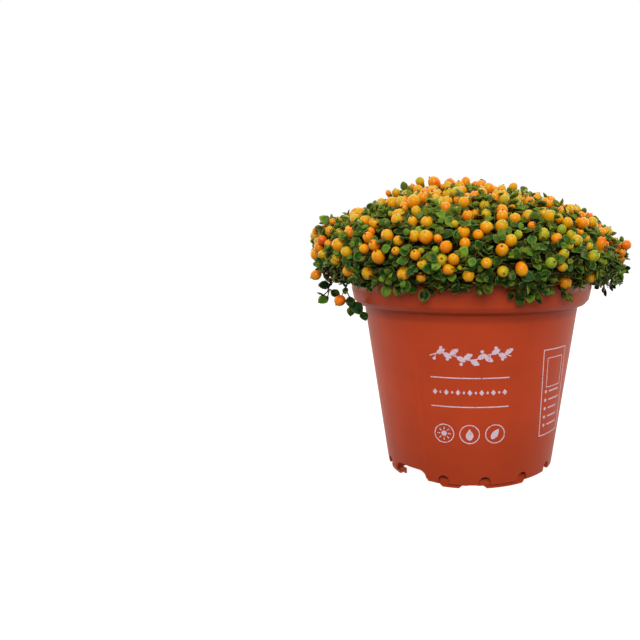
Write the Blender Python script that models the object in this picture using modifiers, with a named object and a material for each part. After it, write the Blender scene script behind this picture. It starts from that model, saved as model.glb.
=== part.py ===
"""Coral bead plant in its plastic pot: a low creeping mat of small round leaves, set with round berries.

The mat fills a tapered terracotta-coloured grower's pot and hangs over its rim.

The pot stands on Z = 0 with its axis on Z. Azimuth 0 is the front, -Y, and azimuths grow towards +X.
"""

import math
import random

import bmesh
import bpy
from mathutils import Matrix, Vector
from mathutils.bvhtree import BVHTree

MM = 0.001

# Pot: a moulded shell with a deep rim band, a raised floor and a broken foot ring.
RIM_RADIUS = 60.0 * MM
POT_HEIGHT = 96.0 * MM
BAND_BOTTOM = 81.0 * MM
WALL_TOP_RADIUS = 53.3 * MM
WALL_BOTTOM_RADIUS = 42.2 * MM
WALL = 1.4 * MM
WALL_STEP = 0.9 * MM
WALL_BOTTOM = 1.9 * MM
FLOOR_UNDERSIDE = 2.4 * MM
FLOOR_TOP = 4.0 * MM
POT_STEPS = 44
# The rim band as points of (radius, height): up its inner face, then over the lip and down its outer face.
BAND_INNER = (
    (56.6 * MM, 85.2 * MM),
    (58.4 * MM, 95.2 * MM),
    (58.9 * MM, POT_HEIGHT),
)
BAND_OUTER = (
    (59.6 * MM, POT_HEIGHT),
    (RIM_RADIUS, 95.3 * MM),
    (59.6 * MM, 89.8 * MM),
    (58.5 * MM, 84.6 * MM),
    (56.6 * MM, 82.4 * MM),
)

# Foot ring and drain holes: 14 equal places round the base, two of them deep water channels.
PLACES = 14
FIRST_PLACE = 9.6
CHANNEL_PLACES = (5, 12)
ARCH_WIDTH = 5.4 * MM
ARCH_TOP = 6.0 * MM
ARCH_DEPTH = 2.0 * MM
ARCH_SIDES = 8
# The arch's straight part is a shade narrower than its round top, so that their faces don't coincide.
ARCH_NARROWING = 0.98
# A channel widens downwards by its slope, and its upper edges are rounded.
CHANNEL_WIDTH = 17.6 * MM
CHANNEL_DEPTH = 17.0 * MM
CHANNEL_TOP = 6.6 * MM
CHANNEL_SLOPE = 0.2
CHANNEL_ROUNDING = 2.4 * MM
# How far a cutter runs past the plastic that it cuts.
CUT_PAST = 2.0 * MM
# The arcs of the foot ring in degrees, repeated on the far side. They pass under the drain arches.
FOOT_SPANS = ((-19.0, -5.4), (9.7, 37.6), (77.0, 97.0), (108.0, 127.0))
FOOT_WIDTH = 1.3 * MM
FOOT_INSET = 0.9 * MM
FOOT_TOP = 3.6 * MM
FOOT_STEP = 7.0

# Soil: a root ball that fills the pot to just under the rim.
CLEARANCE = 0.4 * MM
SOIL_TOP = 90.2 * MM
SOIL_TOP_RADIUS = 56.9 * MM
SOIL_STEPS = 32
HOLE_SIDES = 8

# Leaf mat: a core of packed stems, which the leaves and berries stand out of.
MAT_RADIUS = 71.8 * MM
MAT_TOP = 139.0 * MM
MAT_WIDEST = 104.0 * MM
MAT_SHOULDER = 1.75
MAT_UNDERSIDE = 98.3 * MM
MAT_LIP = ((69.0 * MM, 99.6 * MM), (64.0 * MM, MAT_UNDERSIDE))
PLUG_RADIUS = 52.0 * MM
MAT_RINGS = 8
MAT_RING_SPREAD = 0.8
MAT_STEPS = 24
MAT_LUMPS = 1.3 * MM
MAT_LEAN = 2.2 * MM
# The swells that run round the mat: how many of each, their height and their phase.
MAT_SWELLS = ((2.0, 1.0, 0.6), (3.0, 0.7, -1.1), (5.0, 0.4, 2.0))

# Leaves and berries. Leaves are drawn larger than life and berries at their true size.
SITES = 220
SITE_TABLE = 200
SITE_LIMITS = (0.012, 0.985)
SITE_SHARE_JITTER = 0.012
SITE_TURN_JITTER = 0.03
BERRY_SHARE = 0.36
LEAF_LENGTH = 9.6 * MM
LEAF_WIDTH = 9.0 * MM
LEAF_THICKNESS = 0.7 * MM
LEAF_ROUNDING = 0.66
LEAF_FOLD = 0.2
# Half a blade's width, over the span of the hexagon that it is shaped from.
LEAF_SPAN = 0.54
LEAF_TILT = (14.0, 33.0)
ROOT_DEPTH = 1.0 * MM
BERRY_RADIUS = 3.1 * MM
BERRY_SUNK = 1.1 * MM
BERRY_SIZES = (0.9, 1.08)
# Leaves that hang over the rim, in tiers: how many, the height of their roots, how far in, and their droop.
SKIRTS = (
    (26, 103.2 * MM, 0.5 * MM, (18.0, 42.0)),
    (30, 100.8 * MM, 2.0 * MM, (38.0, 56.0)),
    (34, 98.8 * MM, 6.0 * MM, (66.0, 80.0)),
)
SKIRT_JITTER = 0.2
SKIRT_SWAY = 0.25

# Rooting stems under the mat, and stems that trail over the rim.
STEM_RADIUS = 0.7 * MM
ROOTING_STEM_RADIUS = 1.5 * MM
ROOTING_STEM_DEPTH = 9.0 * MM
ROOTING_STEM_RISE = 8.0 * MM
ROOTING_STEM_RING = 27.0 * MM
ROOTING_STEMS = 6
ROOTING_STEM_SIDES = 6
TRAIL_ROOT_RADIUS = 54.4 * MM
TRAIL_ROOT_DEPTH = 6.0 * MM
# How a trailing stem rises from its hole: how far out it has leaned, and its height.
TRAIL_RISE = ((0.0, 92.6 * MM), (0.7 * MM, 95.6 * MM), (2.6 * MM, 97.1 * MM))
# Where a trailing stem leaves the rim, and its height there.
RIM_CROSSING = (61.5 * MM, 97.3 * MM)
# Each trailing stem: azimuth in degrees, how far it reaches out, and how low its tip hangs.
TRAILS = (
    (-84.0, 72.0 * MM, 84.0 * MM),
    (-60.0, 67.0 * MM, 76.0 * MM),
    (-20.0, 66.0 * MM, 85.0 * MM),
    (22.0, 66.0 * MM, 84.0 * MM),
    (48.0, 67.0 * MM, 85.0 * MM),
    (86.0, 73.0 * MM, 84.0 * MM),
    (138.0, 68.0 * MM, 80.0 * MM),
    (212.0, 68.0 * MM, 78.0 * MM),
)
# How the hanging part curves: the powers of its way out and of its way down.
TRAIL_BULGE = 0.9
TRAIL_DROOP = 1.1
TRAIL_LEAF_LENGTH = 5.6 * MM
TRAIL_LEAF_WIDTH = 5.2 * MM
TRAIL_PAIRS = 3
# Every second pair of leaves is turned outwards: how far each spreads, leans along the stem and stands out.
TRAIL_LEAF_SPREADS = (1.0, 0.55)
TRAIL_LEAF_LEAN = (0.4, 0.6)
TRAIL_LEAF_OUTWARD = 1.15
TIP_BERRY_OVERHANG = 0.7
TRAIL_BERTH = 8.5
TRAIL_STEPS = 6
TRAIL_SWAY = 2.0

SHARP_ANGLE = 35.0
GOLDEN_ANGLE = math.pi * (3.0 - math.sqrt(5.0))
SEED = 11

POT_COLOUR = (0.37, 0.045, 0.018, 1.0)
SOIL_COLOUR = (0.035, 0.02, 0.012, 1.0)
LEAF_COLOUR = (0.06, 0.16, 0.03, 1.0)
BERRY_COLOUR = (0.8, 0.26, 0.02, 1.0)


def clear_scene():
    """Removes every object that the start-up scene holds."""
    for obj in list(bpy.data.objects):
        bpy.data.objects.remove(obj)


def new_collection(name):
    """A collection linked to the scene."""
    collection = bpy.data.collections.new(name)
    bpy.context.scene.collection.children.link(collection)
    return collection


def new_material(name, colour, roughness):
    """A plain Principled material."""
    material = bpy.data.materials.new(name)
    material.use_nodes = True
    shader = material.node_tree.nodes["Principled BSDF"]
    shader.inputs["Base Color"].default_value = colour
    shader.inputs["Roughness"].default_value = roughness
    shader.inputs["Metallic"].default_value = 0.0
    return material


def add_object(name, mesh, collection, matrix=None):
    """An object of this mesh in this collection."""
    obj = bpy.data.objects.new(name, mesh)
    collection.objects.link(obj)
    if matrix is not None:
        obj.matrix_world = matrix
    return obj


def mesh_from(bm, name):
    """Turns a bmesh into a mesh and frees it."""
    bmesh.ops.recalc_face_normals(bm, faces=bm.faces)
    mesh = bpy.data.meshes.new(name)
    bm.to_mesh(mesh)
    bm.free()
    return mesh


def evaluated_mesh(obj):
    """A new mesh of the object as its modifiers or its bevel leave it."""
    bpy.context.view_layer.update()
    graph = bpy.context.evaluated_depsgraph_get()
    return bpy.data.meshes.new_from_object(obj.evaluated_get(graph))


def apply_modifiers(obj):
    """Replaces the object's mesh by its evaluated one."""
    mesh = evaluated_mesh(obj)
    obj.modifiers.clear()
    obj.data = mesh


def combine(obj, operation, tools, solver="EXACT"):
    """Joins the tools to obj, or cuts them from it, in one Boolean, then removes them."""
    group = new_collection("tools")
    for tool in tools:
        for collection in list(tool.users_collection):
            collection.objects.unlink(tool)
        group.objects.link(tool)
    modifier = obj.modifiers.new("Combine", "BOOLEAN")
    modifier.operation = operation
    modifier.operand_type = "COLLECTION"
    modifier.collection = group
    modifier.solver = solver
    modifier.material_mode = "TRANSFER"
    apply_modifiers(obj)
    for tool in tools:
        bpy.data.objects.remove(tool)
    bpy.data.collections.remove(group)


def turned(name, profile, steps, material, collection):
    """A solid of revolution from points of (radius, height), which run down its outer side."""
    mesh = bpy.data.meshes.new(name)
    points = [(radius, 0.0, height) for radius, height in profile]
    mesh.from_pydata(points, [(i, i + 1) for i in range(len(points) - 1)], [])
    mesh.materials.append(material)
    obj = add_object(name, mesh, collection)
    screw = obj.modifiers.new("Turn", "SCREW")
    screw.steps = steps
    screw.render_steps = steps
    screw.use_merge_vertices = True
    screw.merge_threshold = 0.05 * MM
    apply_modifiers(obj)
    return obj


def shade_round(obj):
    """Shades the object smooth but for its real edges."""
    obj.data.shade_smooth()
    obj.data.set_sharp_from_angle(angle=math.radians(SHARP_ANGLE))


def polar(azimuth, radius, height):
    """The point at this azimuth in degrees, radius and height."""
    turn = math.radians(azimuth)
    return Vector((radius * math.sin(turn), -radius * math.cos(turn), height))


def facing(azimuth):
    """A rotation that turns +X to point outwards at this azimuth."""
    return Matrix.Rotation(math.radians(azimuth - 90.0), 4, "Z")


def box(name, size, centre, azimuth, collection):
    """A box with its X side pointing outwards at this azimuth. The centre is (radius, sideways, height)."""
    bm = bmesh.new()
    bmesh.ops.create_cube(bm, size=1.0)
    bmesh.ops.scale(bm, vec=size, verts=bm.verts)
    bmesh.ops.translate(bm, vec=centre, verts=bm.verts)
    return add_object(name, mesh_from(bm, name), collection, facing(azimuth))


def rod(name, radius, start, end, sides, collection):
    """A round rod from start to end."""
    bm = bmesh.new()
    length = (end - start).length
    bmesh.ops.create_cone(
        bm, cap_ends=True, segments=sides, radius1=radius, radius2=radius, depth=length
    )
    turn = (end - start).to_track_quat("Z", "Y").to_matrix().to_4x4()
    matrix = Matrix.Translation((start + end) / 2.0) @ turn
    return add_object(name, mesh_from(bm, name), collection, matrix)


def pot_profile():
    """Half section of the pot: over the floor, up the inside, down the outside and under the floor."""
    inner_bottom = WALL_BOTTOM_RADIUS - WALL
    floor = ((0.0, FLOOR_TOP), (inner_bottom, FLOOR_TOP))
    inside = ((WALL_TOP_RADIUS - WALL, BAND_BOTTOM + WALL_STEP), *BAND_INNER)
    outside = (*BAND_OUTER, (WALL_TOP_RADIUS, BAND_BOTTOM), (WALL_BOTTOM_RADIUS, WALL_BOTTOM))
    edge = inner_bottom - (FLOOR_UNDERSIDE - WALL_BOTTOM)
    under = ((inner_bottom, WALL_BOTTOM), (edge, FLOOR_UNDERSIDE), (0.0, FLOOR_UNDERSIDE))
    return (*floor, *inside, *outside, *under)


def place_azimuths():
    """(number, azimuth) of each of the equal places round the base."""
    return [(n, FIRST_PLACE + n * 360.0 / PLACES) for n in range(PLACES)]


def channel_solid(name, azimuth, margin, bottom, outer, collection):
    """A water channel's form, grown by a margin: it widens downwards and has rounded upper edges."""
    inner = WALL_BOTTOM_RADIUS - CHANNEL_DEPTH - margin
    top = CHANNEL_TOP + margin
    bm = bmesh.new()
    bmesh.ops.create_cube(bm, size=1.0)
    for vert in bm.verts:
        height = top if vert.co.z > 0.0 else bottom
        half = CHANNEL_WIDTH / 2.0 + (CHANNEL_TOP - height) * CHANNEL_SLOPE + margin
        vert.co = (outer if vert.co.x > 0.0 else inner, math.copysign(half, vert.co.y), height)
    ridges = [
        edge
        for edge in bm.edges
        if all(vert.co.z == edge.verts[0].co.z > CHANNEL_TOP - WALL for vert in edge.verts)
        and edge.verts[0].co.x != edge.verts[1].co.x
    ]
    bmesh.ops.bevel(
        bm,
        geom=ridges,
        offset=CHANNEL_ROUNDING + margin,
        segments=3,
        profile=0.5,
        affect="EDGES",
        material=-1,
    )
    return add_object(name, mesh_from(bm, name), collection, facing(azimuth))


def channel_cutter(name, azimuth, margin, collection):
    """A channel as a cutter, which runs out past the wall and down past the foot."""
    return channel_solid(name, azimuth, margin, -CUT_PAST, WALL_BOTTOM_RADIUS + CUT_PAST, collection)


def channel_lining(azimuth, collection):
    """The block of plastic that a channel is hollowed from. It stays inside the wall."""
    bottom = (FLOOR_UNDERSIDE + FLOOR_TOP) / 2.0
    return channel_solid("lining", azimuth, WALL, bottom, WALL_BOTTOM_RADIUS - WALL / 2.0, collection)


def arch_cutters(azimuth, collection):
    """A drain hole like a mouse hole, cut through the wall as far as the floor's edge."""
    half = ARCH_WIDTH / 2.0
    spring = ARCH_TOP - half
    inner = WALL_BOTTOM_RADIUS - ARCH_DEPTH
    outer = WALL_BOTTOM_RADIUS + CUT_PAST
    start = polar(azimuth, inner, spring)
    end = polar(azimuth, outer, spring)
    round_top = rod("arch", half, start, end, ARCH_SIDES, collection)
    size = (outer - inner, ARCH_WIDTH * ARCH_NARROWING, spring + CUT_PAST)
    centre = ((outer + inner) / 2.0, 0.0, (spring - CUT_PAST) / 2.0)
    return [round_top, box("arch", size, centre, azimuth, collection)]


def foot(span, collection):
    """One arc of the foot ring, which runs up into the wall and shows through the drain arches."""
    first, last = span
    outer = WALL_BOTTOM_RADIUS - FOOT_INSET
    inner = outer - FOOT_WIDTH
    bm = bmesh.new()
    corners = ((inner, 0.0), (outer, 0.0), (outer, FOOT_TOP), (inner, FOOT_TOP))
    section = [bm.verts.new(polar(first, radius, height)) for radius, height in corners]
    face = bm.faces.new(section)
    bmesh.ops.spin(
        bm,
        geom=[face],
        cent=(0.0, 0.0, 0.0),
        axis=(0.0, 0.0, 1.0),
        angle=math.radians(last - first),
        steps=max(2, round((last - first) / FOOT_STEP)),
        use_duplicate=False,
    )
    return add_object("foot", mesh_from(bm, "foot"), collection)


def build_pot(collection, material):
    """The moulded pot, with its drain arches, water channels and foot ring."""
    pot = turned("pot", pot_profile(), POT_STEPS, material, collection)
    channels = [azimuth for n, azimuth in place_azimuths() if n in CHANNEL_PLACES]
    arches = [azimuth for n, azimuth in place_azimuths() if n not in CHANNEL_PLACES]
    spans = [(a + turn, b + turn) for turn in (0.0, 180.0) for a, b in FOOT_SPANS]
    combine(pot, "UNION", [channel_lining(azimuth, collection) for azimuth in channels])
    cutters = [channel_cutter("channel", azimuth, 0.0, collection) for azimuth in channels]
    for azimuth in arches:
        cutters += arch_cutters(azimuth, collection)
    combine(pot, "DIFFERENCE", cutters)
    combine(pot, "UNION", [foot(span, collection) for span in spans], "MANIFOLD")
    shade_round(pot)
    return pot


def build_soil(collection, material):
    """The root ball, with the moulded-in channels and a plain hole for each stem."""
    band_radius, band_height = BAND_INNER[0]
    bottom = FLOOR_TOP + CLEARANCE
    profile = (
        (0.0, SOIL_TOP),
        (SOIL_TOP_RADIUS, SOIL_TOP),
        (band_radius - 2.0 * CLEARANCE, band_height),
        (WALL_TOP_RADIUS - WALL - CLEARANCE, BAND_BOTTOM + WALL_STEP + CLEARANCE),
        (WALL_BOTTOM_RADIUS - WALL - CLEARANCE, bottom),
        (0.0, bottom),
    )
    soil = turned("soil", profile, SOIL_STEPS, material, collection)
    margin = WALL + CLEARANCE
    cutters = [
        channel_cutter("imprint", azimuth, margin, collection)
        for n, azimuth in place_azimuths()
        if n in CHANNEL_PLACES
    ]
    above = SOIL_TOP + CUT_PAST
    for azimuth in rooting_azimuths():
        top = polar(azimuth, ROOTING_STEM_RING, above)
        bottom = polar(azimuth, ROOTING_STEM_RING, SOIL_TOP - ROOTING_STEM_DEPTH - CLEARANCE)
        cutters.append(rod("hole", ROOTING_STEM_RADIUS + CLEARANCE, bottom, top, HOLE_SIDES, collection))
    for azimuth, _, _ in TRAILS:
        top = polar(azimuth, TRAIL_ROOT_RADIUS, above)
        bottom = polar(azimuth, TRAIL_ROOT_RADIUS, SOIL_TOP - TRAIL_ROOT_DEPTH - CLEARANCE)
        cutters.append(rod("hole", STEM_RADIUS + CLEARANCE, bottom, top, HOLE_SIDES, collection))
    combine(soil, "DIFFERENCE", cutters)
    shade_round(soil)
    return soil


def rooting_azimuths():
    """Where the mat's rooting stems go down into the soil."""
    return [n * 360.0 / ROOTING_STEMS for n in range(ROOTING_STEMS)]


def lumps(turn, lift):
    """The mat's uneven growth: low swells that run round it and fade at the crown."""
    swell = sum(height * math.sin(count * turn + phase) for count, height, phase in MAT_SWELLS)
    return MAT_LUMPS * swell * (1.0 - lift)


def dome_point(share, turn):
    """A point of the mat's crown. The share runs from 0 at its widest edge to 1 at its top."""
    lift = math.sin(share * math.pi / 2.0)
    reach = (1.0 - lift * lift) ** (1.0 / MAT_SHOULDER)
    lean = -4.0 * MAT_LEAN * lift * (1.0 - lift) * math.sin(turn)
    radius = (MAT_RADIUS + lumps(turn, lift)) * reach + lean
    height = MAT_WIDEST + (MAT_TOP - MAT_WIDEST) * lift
    return Vector((radius * math.sin(turn), -radius * math.cos(turn), height))


def dome_normal(share, turn):
    """The outward direction at a point of the crown."""
    step = 0.01
    along = dome_point(min(share + step, 1.0), turn) - dome_point(share - step, turn)
    sideways = Vector((math.cos(turn), math.sin(turn), 0.0))
    return sideways.cross(along).normalized()


def mat_core(collection):
    """The packed stems under the leaves, from a sphere shaped ring by ring into a dome with a plug."""
    bm = bmesh.new()
    plug_bottom = SOIL_TOP + CLEARANCE
    below = (*MAT_LIP, (PLUG_RADIUS, MAT_UNDERSIDE), (PLUG_RADIUS, plug_bottom))
    rings = MAT_RINGS + len(below)
    bmesh.ops.create_uvsphere(bm, u_segments=MAT_STEPS, v_segments=rings + 1, radius=1.0)
    for vert in bm.verts:
        polar_share = math.acos(max(-1.0, min(1.0, vert.co.z))) / math.pi
        ring = round(polar_share * (rings + 1))
        turn = math.atan2(vert.co.x, -vert.co.y)
        if ring == 0:
            vert.co = (0.0, 0.0, MAT_TOP)
        elif ring <= MAT_RINGS:
            vert.co = dome_point(1.0 - (ring / MAT_RINGS) ** MAT_RING_SPREAD, turn)
        elif ring <= rings:
            radius, height = below[ring - MAT_RINGS - 1]
            vert.co = (radius * math.sin(turn), -radius * math.cos(turn), height)
        else:
            vert.co = (0.0, 0.0, plug_bottom)
    return add_object("leaf_mat", mesh_from(bm, "leaf_mat"), collection)


def leaf_mesh(length, width, material):
    """A round blade, folded a little along its midrib: root at the origin, tip on +Y, upper face to +Z."""
    bm = bmesh.new()
    bmesh.ops.create_circle(bm, cap_ends=True, segments=6, radius=1.0)
    root = min(bm.verts, key=lambda vert: vert.co.y)
    tip = max(bm.verts, key=lambda vert: vert.co.y)
    bmesh.ops.connect_verts(bm, verts=[root, tip])
    for vert in bm.verts:
        across = vert.co.x * width * LEAF_SPAN
        along = length * max(0.0, 0.5 + 0.5 * vert.co.y) ** LEAF_ROUNDING
        vert.co = (across, along, LEAF_FOLD * abs(across) - LEAF_THICKNESS / 2.0)
    grown = bmesh.ops.extrude_face_region(bm, geom=bm.faces[:], use_keep_orig=True)
    upper = [item for item in grown["geom"] if isinstance(item, bmesh.types.BMVert)]
    bmesh.ops.translate(bm, vec=(0.0, 0.0, LEAF_THICKNESS), verts=upper)
    mesh = mesh_from(bm, "leaf")
    mesh.materials.append(material)
    return mesh


def berry_mesh(radius, material):
    """A few-sided ball."""
    bm = bmesh.new()
    bmesh.ops.create_icosphere(bm, subdivisions=1, radius=radius)
    mesh = mesh_from(bm, "berry")
    mesh.materials.append(material)
    return mesh


def blade_matrix(root, along, up):
    """Places a blade: its root here, its tip along this direction, its face turned towards up."""
    y = along.normalized()
    x = y.cross(up).normalized()
    turn = Matrix((x, y, x.cross(y))).transposed().to_4x4()
    return Matrix.Translation(root) @ turn


def crown_sites(chance):
    """(share, turn, normal) of evenly spread places over the crown, each a little out of line."""
    table = [n / SITE_TABLE for n in range(SITE_TABLE + 1)]
    areas = [0.0]
    for low, high in zip(table, table[1:]):
        first = dome_point(low, 0.0)
        second = dome_point(high, 0.0)
        areas.append(areas[-1] + (second - first).length * (abs(first.y) + abs(second.y)))
    sites = []
    for n in range(SITES):
        target = areas[-1] * (n + 0.5) / SITES
        index = next(i for i, area in enumerate(areas) if area >= target)
        share = table[index] + chance.uniform(-SITE_SHARE_JITTER, SITE_SHARE_JITTER)
        turn = n * GOLDEN_ANGLE + chance.uniform(-SITE_TURN_JITTER, SITE_TURN_JITTER)
        lowest, highest = SITE_LIMITS
        share = min(max(share, lowest), highest)
        sites.append((share, turn, dome_normal(share, turn)))
    return sites


def sunk_root(surface, point):
    """The place just under the core's surface that is nearest to this point."""
    spot, normal, _, _ = surface.find_nearest(point)
    return spot - normal * ROOT_DEPTH


def crown_leaf(surface, point, normal, chance, mesh, collection):
    """One leaf of the crown. Its middle lies over its site, and its slant and heading are its own."""
    heading = normal.orthogonal().normalized()
    heading.rotate(Matrix.Rotation(chance.uniform(0.0, 2.0 * math.pi), 3, normal))
    tilt = math.radians(chance.uniform(*LEAF_TILT))
    root = sunk_root(surface, point - heading * LEAF_LENGTH * 0.5 * math.cos(tilt))
    along = heading * math.cos(tilt) + normal * math.sin(tilt)
    return add_object("leaf", mesh, collection, blade_matrix(root, along, normal))


def crown_berry(surface, point, normal, chance, mesh, collection):
    """One berry, sunk a little way into the core."""
    spot = surface.find_nearest(point)[0]
    centre = spot + normal * (BERRY_RADIUS - BERRY_SUNK)
    turn = normal.to_track_quat("Z", "Y").to_matrix().to_4x4()
    matrix = Matrix.Translation(centre) @ turn @ Matrix.Scale(chance.uniform(*BERRY_SIZES), 4)
    return add_object("berry", mesh, collection, matrix)


def skirt_leaf(surface, azimuth, tier, chance, mesh, collection):
    """One leaf that hangs from the mat's lower edge over the rim."""
    _, height, inset, droops = tier
    root = sunk_root(surface, polar(azimuth, MAT_RADIUS - inset, height))
    out = polar(azimuth, 1.0, 0.0)
    droop = math.radians(chance.uniform(*droops))
    along = out * math.cos(droop) - Vector((0.0, 0.0, math.sin(droop)))
    along += Vector((out.y, -out.x, 0.0)) * chance.uniform(-SKIRT_SWAY, SKIRT_SWAY)
    return add_object("leaf", mesh, collection, blade_matrix(root, along, out))


def near_trail(azimuth, margin):
    """Whether this azimuth lies within a margin, in degrees, of a stem that trails over the rim."""
    return any(abs((azimuth - trail[0] + 180.0) % 360.0 - 180.0) < margin for trail in TRAILS)


def build_mat(collection, leaf, fruit):
    """The creeping mat: its core with rooting stems, leaves and berries, all grown together."""
    chance = random.Random(SEED)
    mat = mat_core(collection)
    mat.data.materials.append(leaf)
    points = [vert.co.copy() for vert in mat.data.vertices]
    surface = BVHTree.FromPolygons(points, [tuple(face.vertices) for face in mat.data.polygons])
    blade = leaf_mesh(LEAF_LENGTH, LEAF_WIDTH, leaf)
    ball = berry_mesh(BERRY_RADIUS, fruit)
    repeats = []
    for azimuth in rooting_azimuths():
        top = polar(azimuth, ROOTING_STEM_RING, SOIL_TOP + ROOTING_STEM_RISE)
        bottom = polar(azimuth, ROOTING_STEM_RING, SOIL_TOP - ROOTING_STEM_DEPTH)
        repeats.append(rod("stem", ROOTING_STEM_RADIUS, bottom, top, ROOTING_STEM_SIDES, collection))
    debt = 0.0
    for share, turn, normal in crown_sites(chance):
        point = dome_point(share, turn)
        debt += BERRY_SHARE
        if debt >= 1.0:
            debt -= 1.0
            repeats.append(crown_berry(surface, point, normal, chance, ball, collection))
        else:
            repeats.append(crown_leaf(surface, point, normal, chance, blade, collection))
    for tier in SKIRTS:
        count = tier[0]
        for n in range(count):
            azimuth = (n + chance.uniform(-SKIRT_JITTER, SKIRT_JITTER)) * 360.0 / count
            if tier is SKIRTS[0] or not near_trail(azimuth, TRAIL_BERTH):
                repeats.append(skirt_leaf(surface, azimuth, tier, chance, blade, collection))
    combine(mat, "UNION", repeats, "MANIFOLD")
    return mat


def trail_route(azimuth, reach, tip_height):
    """The centreline of a stem from its hole in the soil, over the rim and down."""
    edge, height = RIM_CROSSING
    rise = [(TRAIL_ROOT_RADIUS + lean, level) for lean, level in TRAIL_RISE]
    route = [(TRAIL_ROOT_RADIUS, SOIL_TOP - TRAIL_ROOT_DEPTH), *rise, (edge, height)]
    points = [polar(azimuth, *place) for place in route]
    for n in range(1, TRAIL_STEPS + 1):
        angle = n / TRAIL_STEPS * math.pi / 2.0
        out = edge + (reach - edge) * math.sin(angle) ** TRAIL_BULGE
        down = height - (height - tip_height) * (1.0 - math.cos(angle)) ** TRAIL_DROOP
        swing = TRAIL_SWAY * math.sin(math.radians(3.0 * azimuth)) * n / TRAIL_STEPS
        points.append(polar(azimuth + swing, out, down))
    return points


def stem_tube(route, collection):
    """The stem as a slim four-sided tube along its route, made one closed mesh."""
    curve = bpy.data.curves.new("stem", "CURVE")
    curve.dimensions = "3D"
    curve.bevel_depth = STEM_RADIUS
    curve.bevel_resolution = 0
    curve.use_fill_caps = True
    spline = curve.splines.new("POLY")
    spline.points.add(len(route) - 1)
    for point, place in zip(spline.points, route):
        point.co = (*place, 1.0)
    guide = add_object("guide", curve, collection)
    mesh = evaluated_mesh(guide)
    bpy.data.objects.remove(guide)
    bm = bmesh.new()
    bm.from_mesh(mesh)
    bmesh.ops.remove_doubles(bm, verts=bm.verts, dist=0.01 * MM)
    return mesh_from(bm, "stem")


def build_trail(number, trail, collection, leaf, fruit):
    """One leafy stem that roots in the soil and trails over the rim, with a berry on some."""
    azimuth, reach, tip_height = trail
    chance = random.Random(SEED + number)
    route = trail_route(azimuth, reach, tip_height)
    stem = add_object(f"trailing_stem_{number}", stem_tube(route, collection), collection)
    stem.data.materials.append(leaf)
    blade = leaf_mesh(TRAIL_LEAF_LENGTH, TRAIL_LEAF_WIDTH, leaf)
    repeats = []
    out = polar(azimuth, 1.0, 0.0)
    for n in range(TRAIL_PAIRS):
        place = route[-1 - 2 * n]
        heading = (route[-1 - 2 * n] - route[-2 - 2 * n]).normalized()
        across = heading.cross(out).normalized()
        spread = TRAIL_LEAF_SPREADS[n % 2]
        for sense in (1.0, -1.0):
            lean = chance.uniform(*TRAIL_LEAF_LEAN)
            along = across * sense * spread + heading * lean + out * (TRAIL_LEAF_OUTWARD - spread)
            repeats.append(add_object("leaf", blade, collection, blade_matrix(place, along, out)))
    if number % 2 == 0:
        heading = (route[-1] - route[-2]).normalized()
        tip = route[-1] + heading * BERRY_RADIUS * TIP_BERRY_OVERHANG
        ball = berry_mesh(BERRY_RADIUS, fruit)
        repeats.append(add_object("berry", ball, collection, Matrix.Translation(tip)))
    combine(stem, "UNION", repeats, "MANIFOLD")
    return stem


def main():
    """Builds every piece of the plant and its pot."""
    clear_scene()
    plant = new_collection("coral_bead_plant")
    plastic = new_material("pot plastic", POT_COLOUR, 0.5)
    peat = new_material("peat soil", SOIL_COLOUR, 0.95)
    leaf = new_material("leaf", LEAF_COLOUR, 0.45)
    fruit = new_material("berry", BERRY_COLOUR, 0.25)
    build_pot(plant, plastic)
    build_soil(plant, peat)
    build_mat(plant, leaf, fruit)
    for number, trail in enumerate(TRAILS, start=1):
        build_trail(number, trail, plant, leaf, fruit)


main()
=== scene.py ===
"""Coral bead plant in its grower's pot: every surface's finish and the fine pieces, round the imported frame.

The frame stands on Z = 0 with the pot's axis on Z. Azimuth 0 is the front, -Y, and azimuths grow towards +X.
"""

import math
import random
from bisect import bisect
from collections import namedtuple
from itertools import product
from math import cos, pi, radians, sin

import bmesh
import bpy
from bpy.props import FloatProperty, FloatVectorProperty, IntProperty, PointerProperty
from mathutils import Euler, Matrix, Quaternion, Vector, kdtree, noise


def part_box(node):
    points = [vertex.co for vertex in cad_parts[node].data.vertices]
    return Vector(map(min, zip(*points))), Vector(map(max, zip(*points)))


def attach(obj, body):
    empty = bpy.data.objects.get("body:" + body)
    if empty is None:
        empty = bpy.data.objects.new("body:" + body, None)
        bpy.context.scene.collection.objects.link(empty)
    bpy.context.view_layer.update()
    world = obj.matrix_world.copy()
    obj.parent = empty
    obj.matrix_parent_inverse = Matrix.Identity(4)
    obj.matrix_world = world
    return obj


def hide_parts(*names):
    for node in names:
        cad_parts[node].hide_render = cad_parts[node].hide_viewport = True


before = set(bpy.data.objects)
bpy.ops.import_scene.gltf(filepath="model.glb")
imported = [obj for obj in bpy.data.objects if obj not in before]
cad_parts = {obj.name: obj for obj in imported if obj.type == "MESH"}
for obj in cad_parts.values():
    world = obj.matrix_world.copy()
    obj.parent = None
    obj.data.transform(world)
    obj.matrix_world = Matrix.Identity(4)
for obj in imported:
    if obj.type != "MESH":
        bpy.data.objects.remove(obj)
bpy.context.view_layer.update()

bl_info = {
    "name": "Coral bead plant in a pot",
    "version": (1, 0, 0),
    "blender": (4, 5, 0),
    "location": "View3D > Sidebar > Bead Plant",
    "description": "Dresses a packed coral bead plant: pot, print, soil, leafy shoots, berries and stage",
    "category": "Add Mesh",
}

MM = 0.001
UP = Vector((0.0, 0.0, 1.0))
ORIGIN = (0.0, 0.0, 0.0)
FULL_TURN = 2.0 * pi
BODY = "root"

POT_LOW, POT_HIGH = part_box("pot")
RIM_RADIUS = (POT_HIGH.x - POT_LOW.x) / 2.0
POT_HEIGHT = POT_HIGH.z


def mm(*sizes):
    """Sizes in millimetres as metres."""
    return tuple(size * MM for size in sizes)


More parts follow.
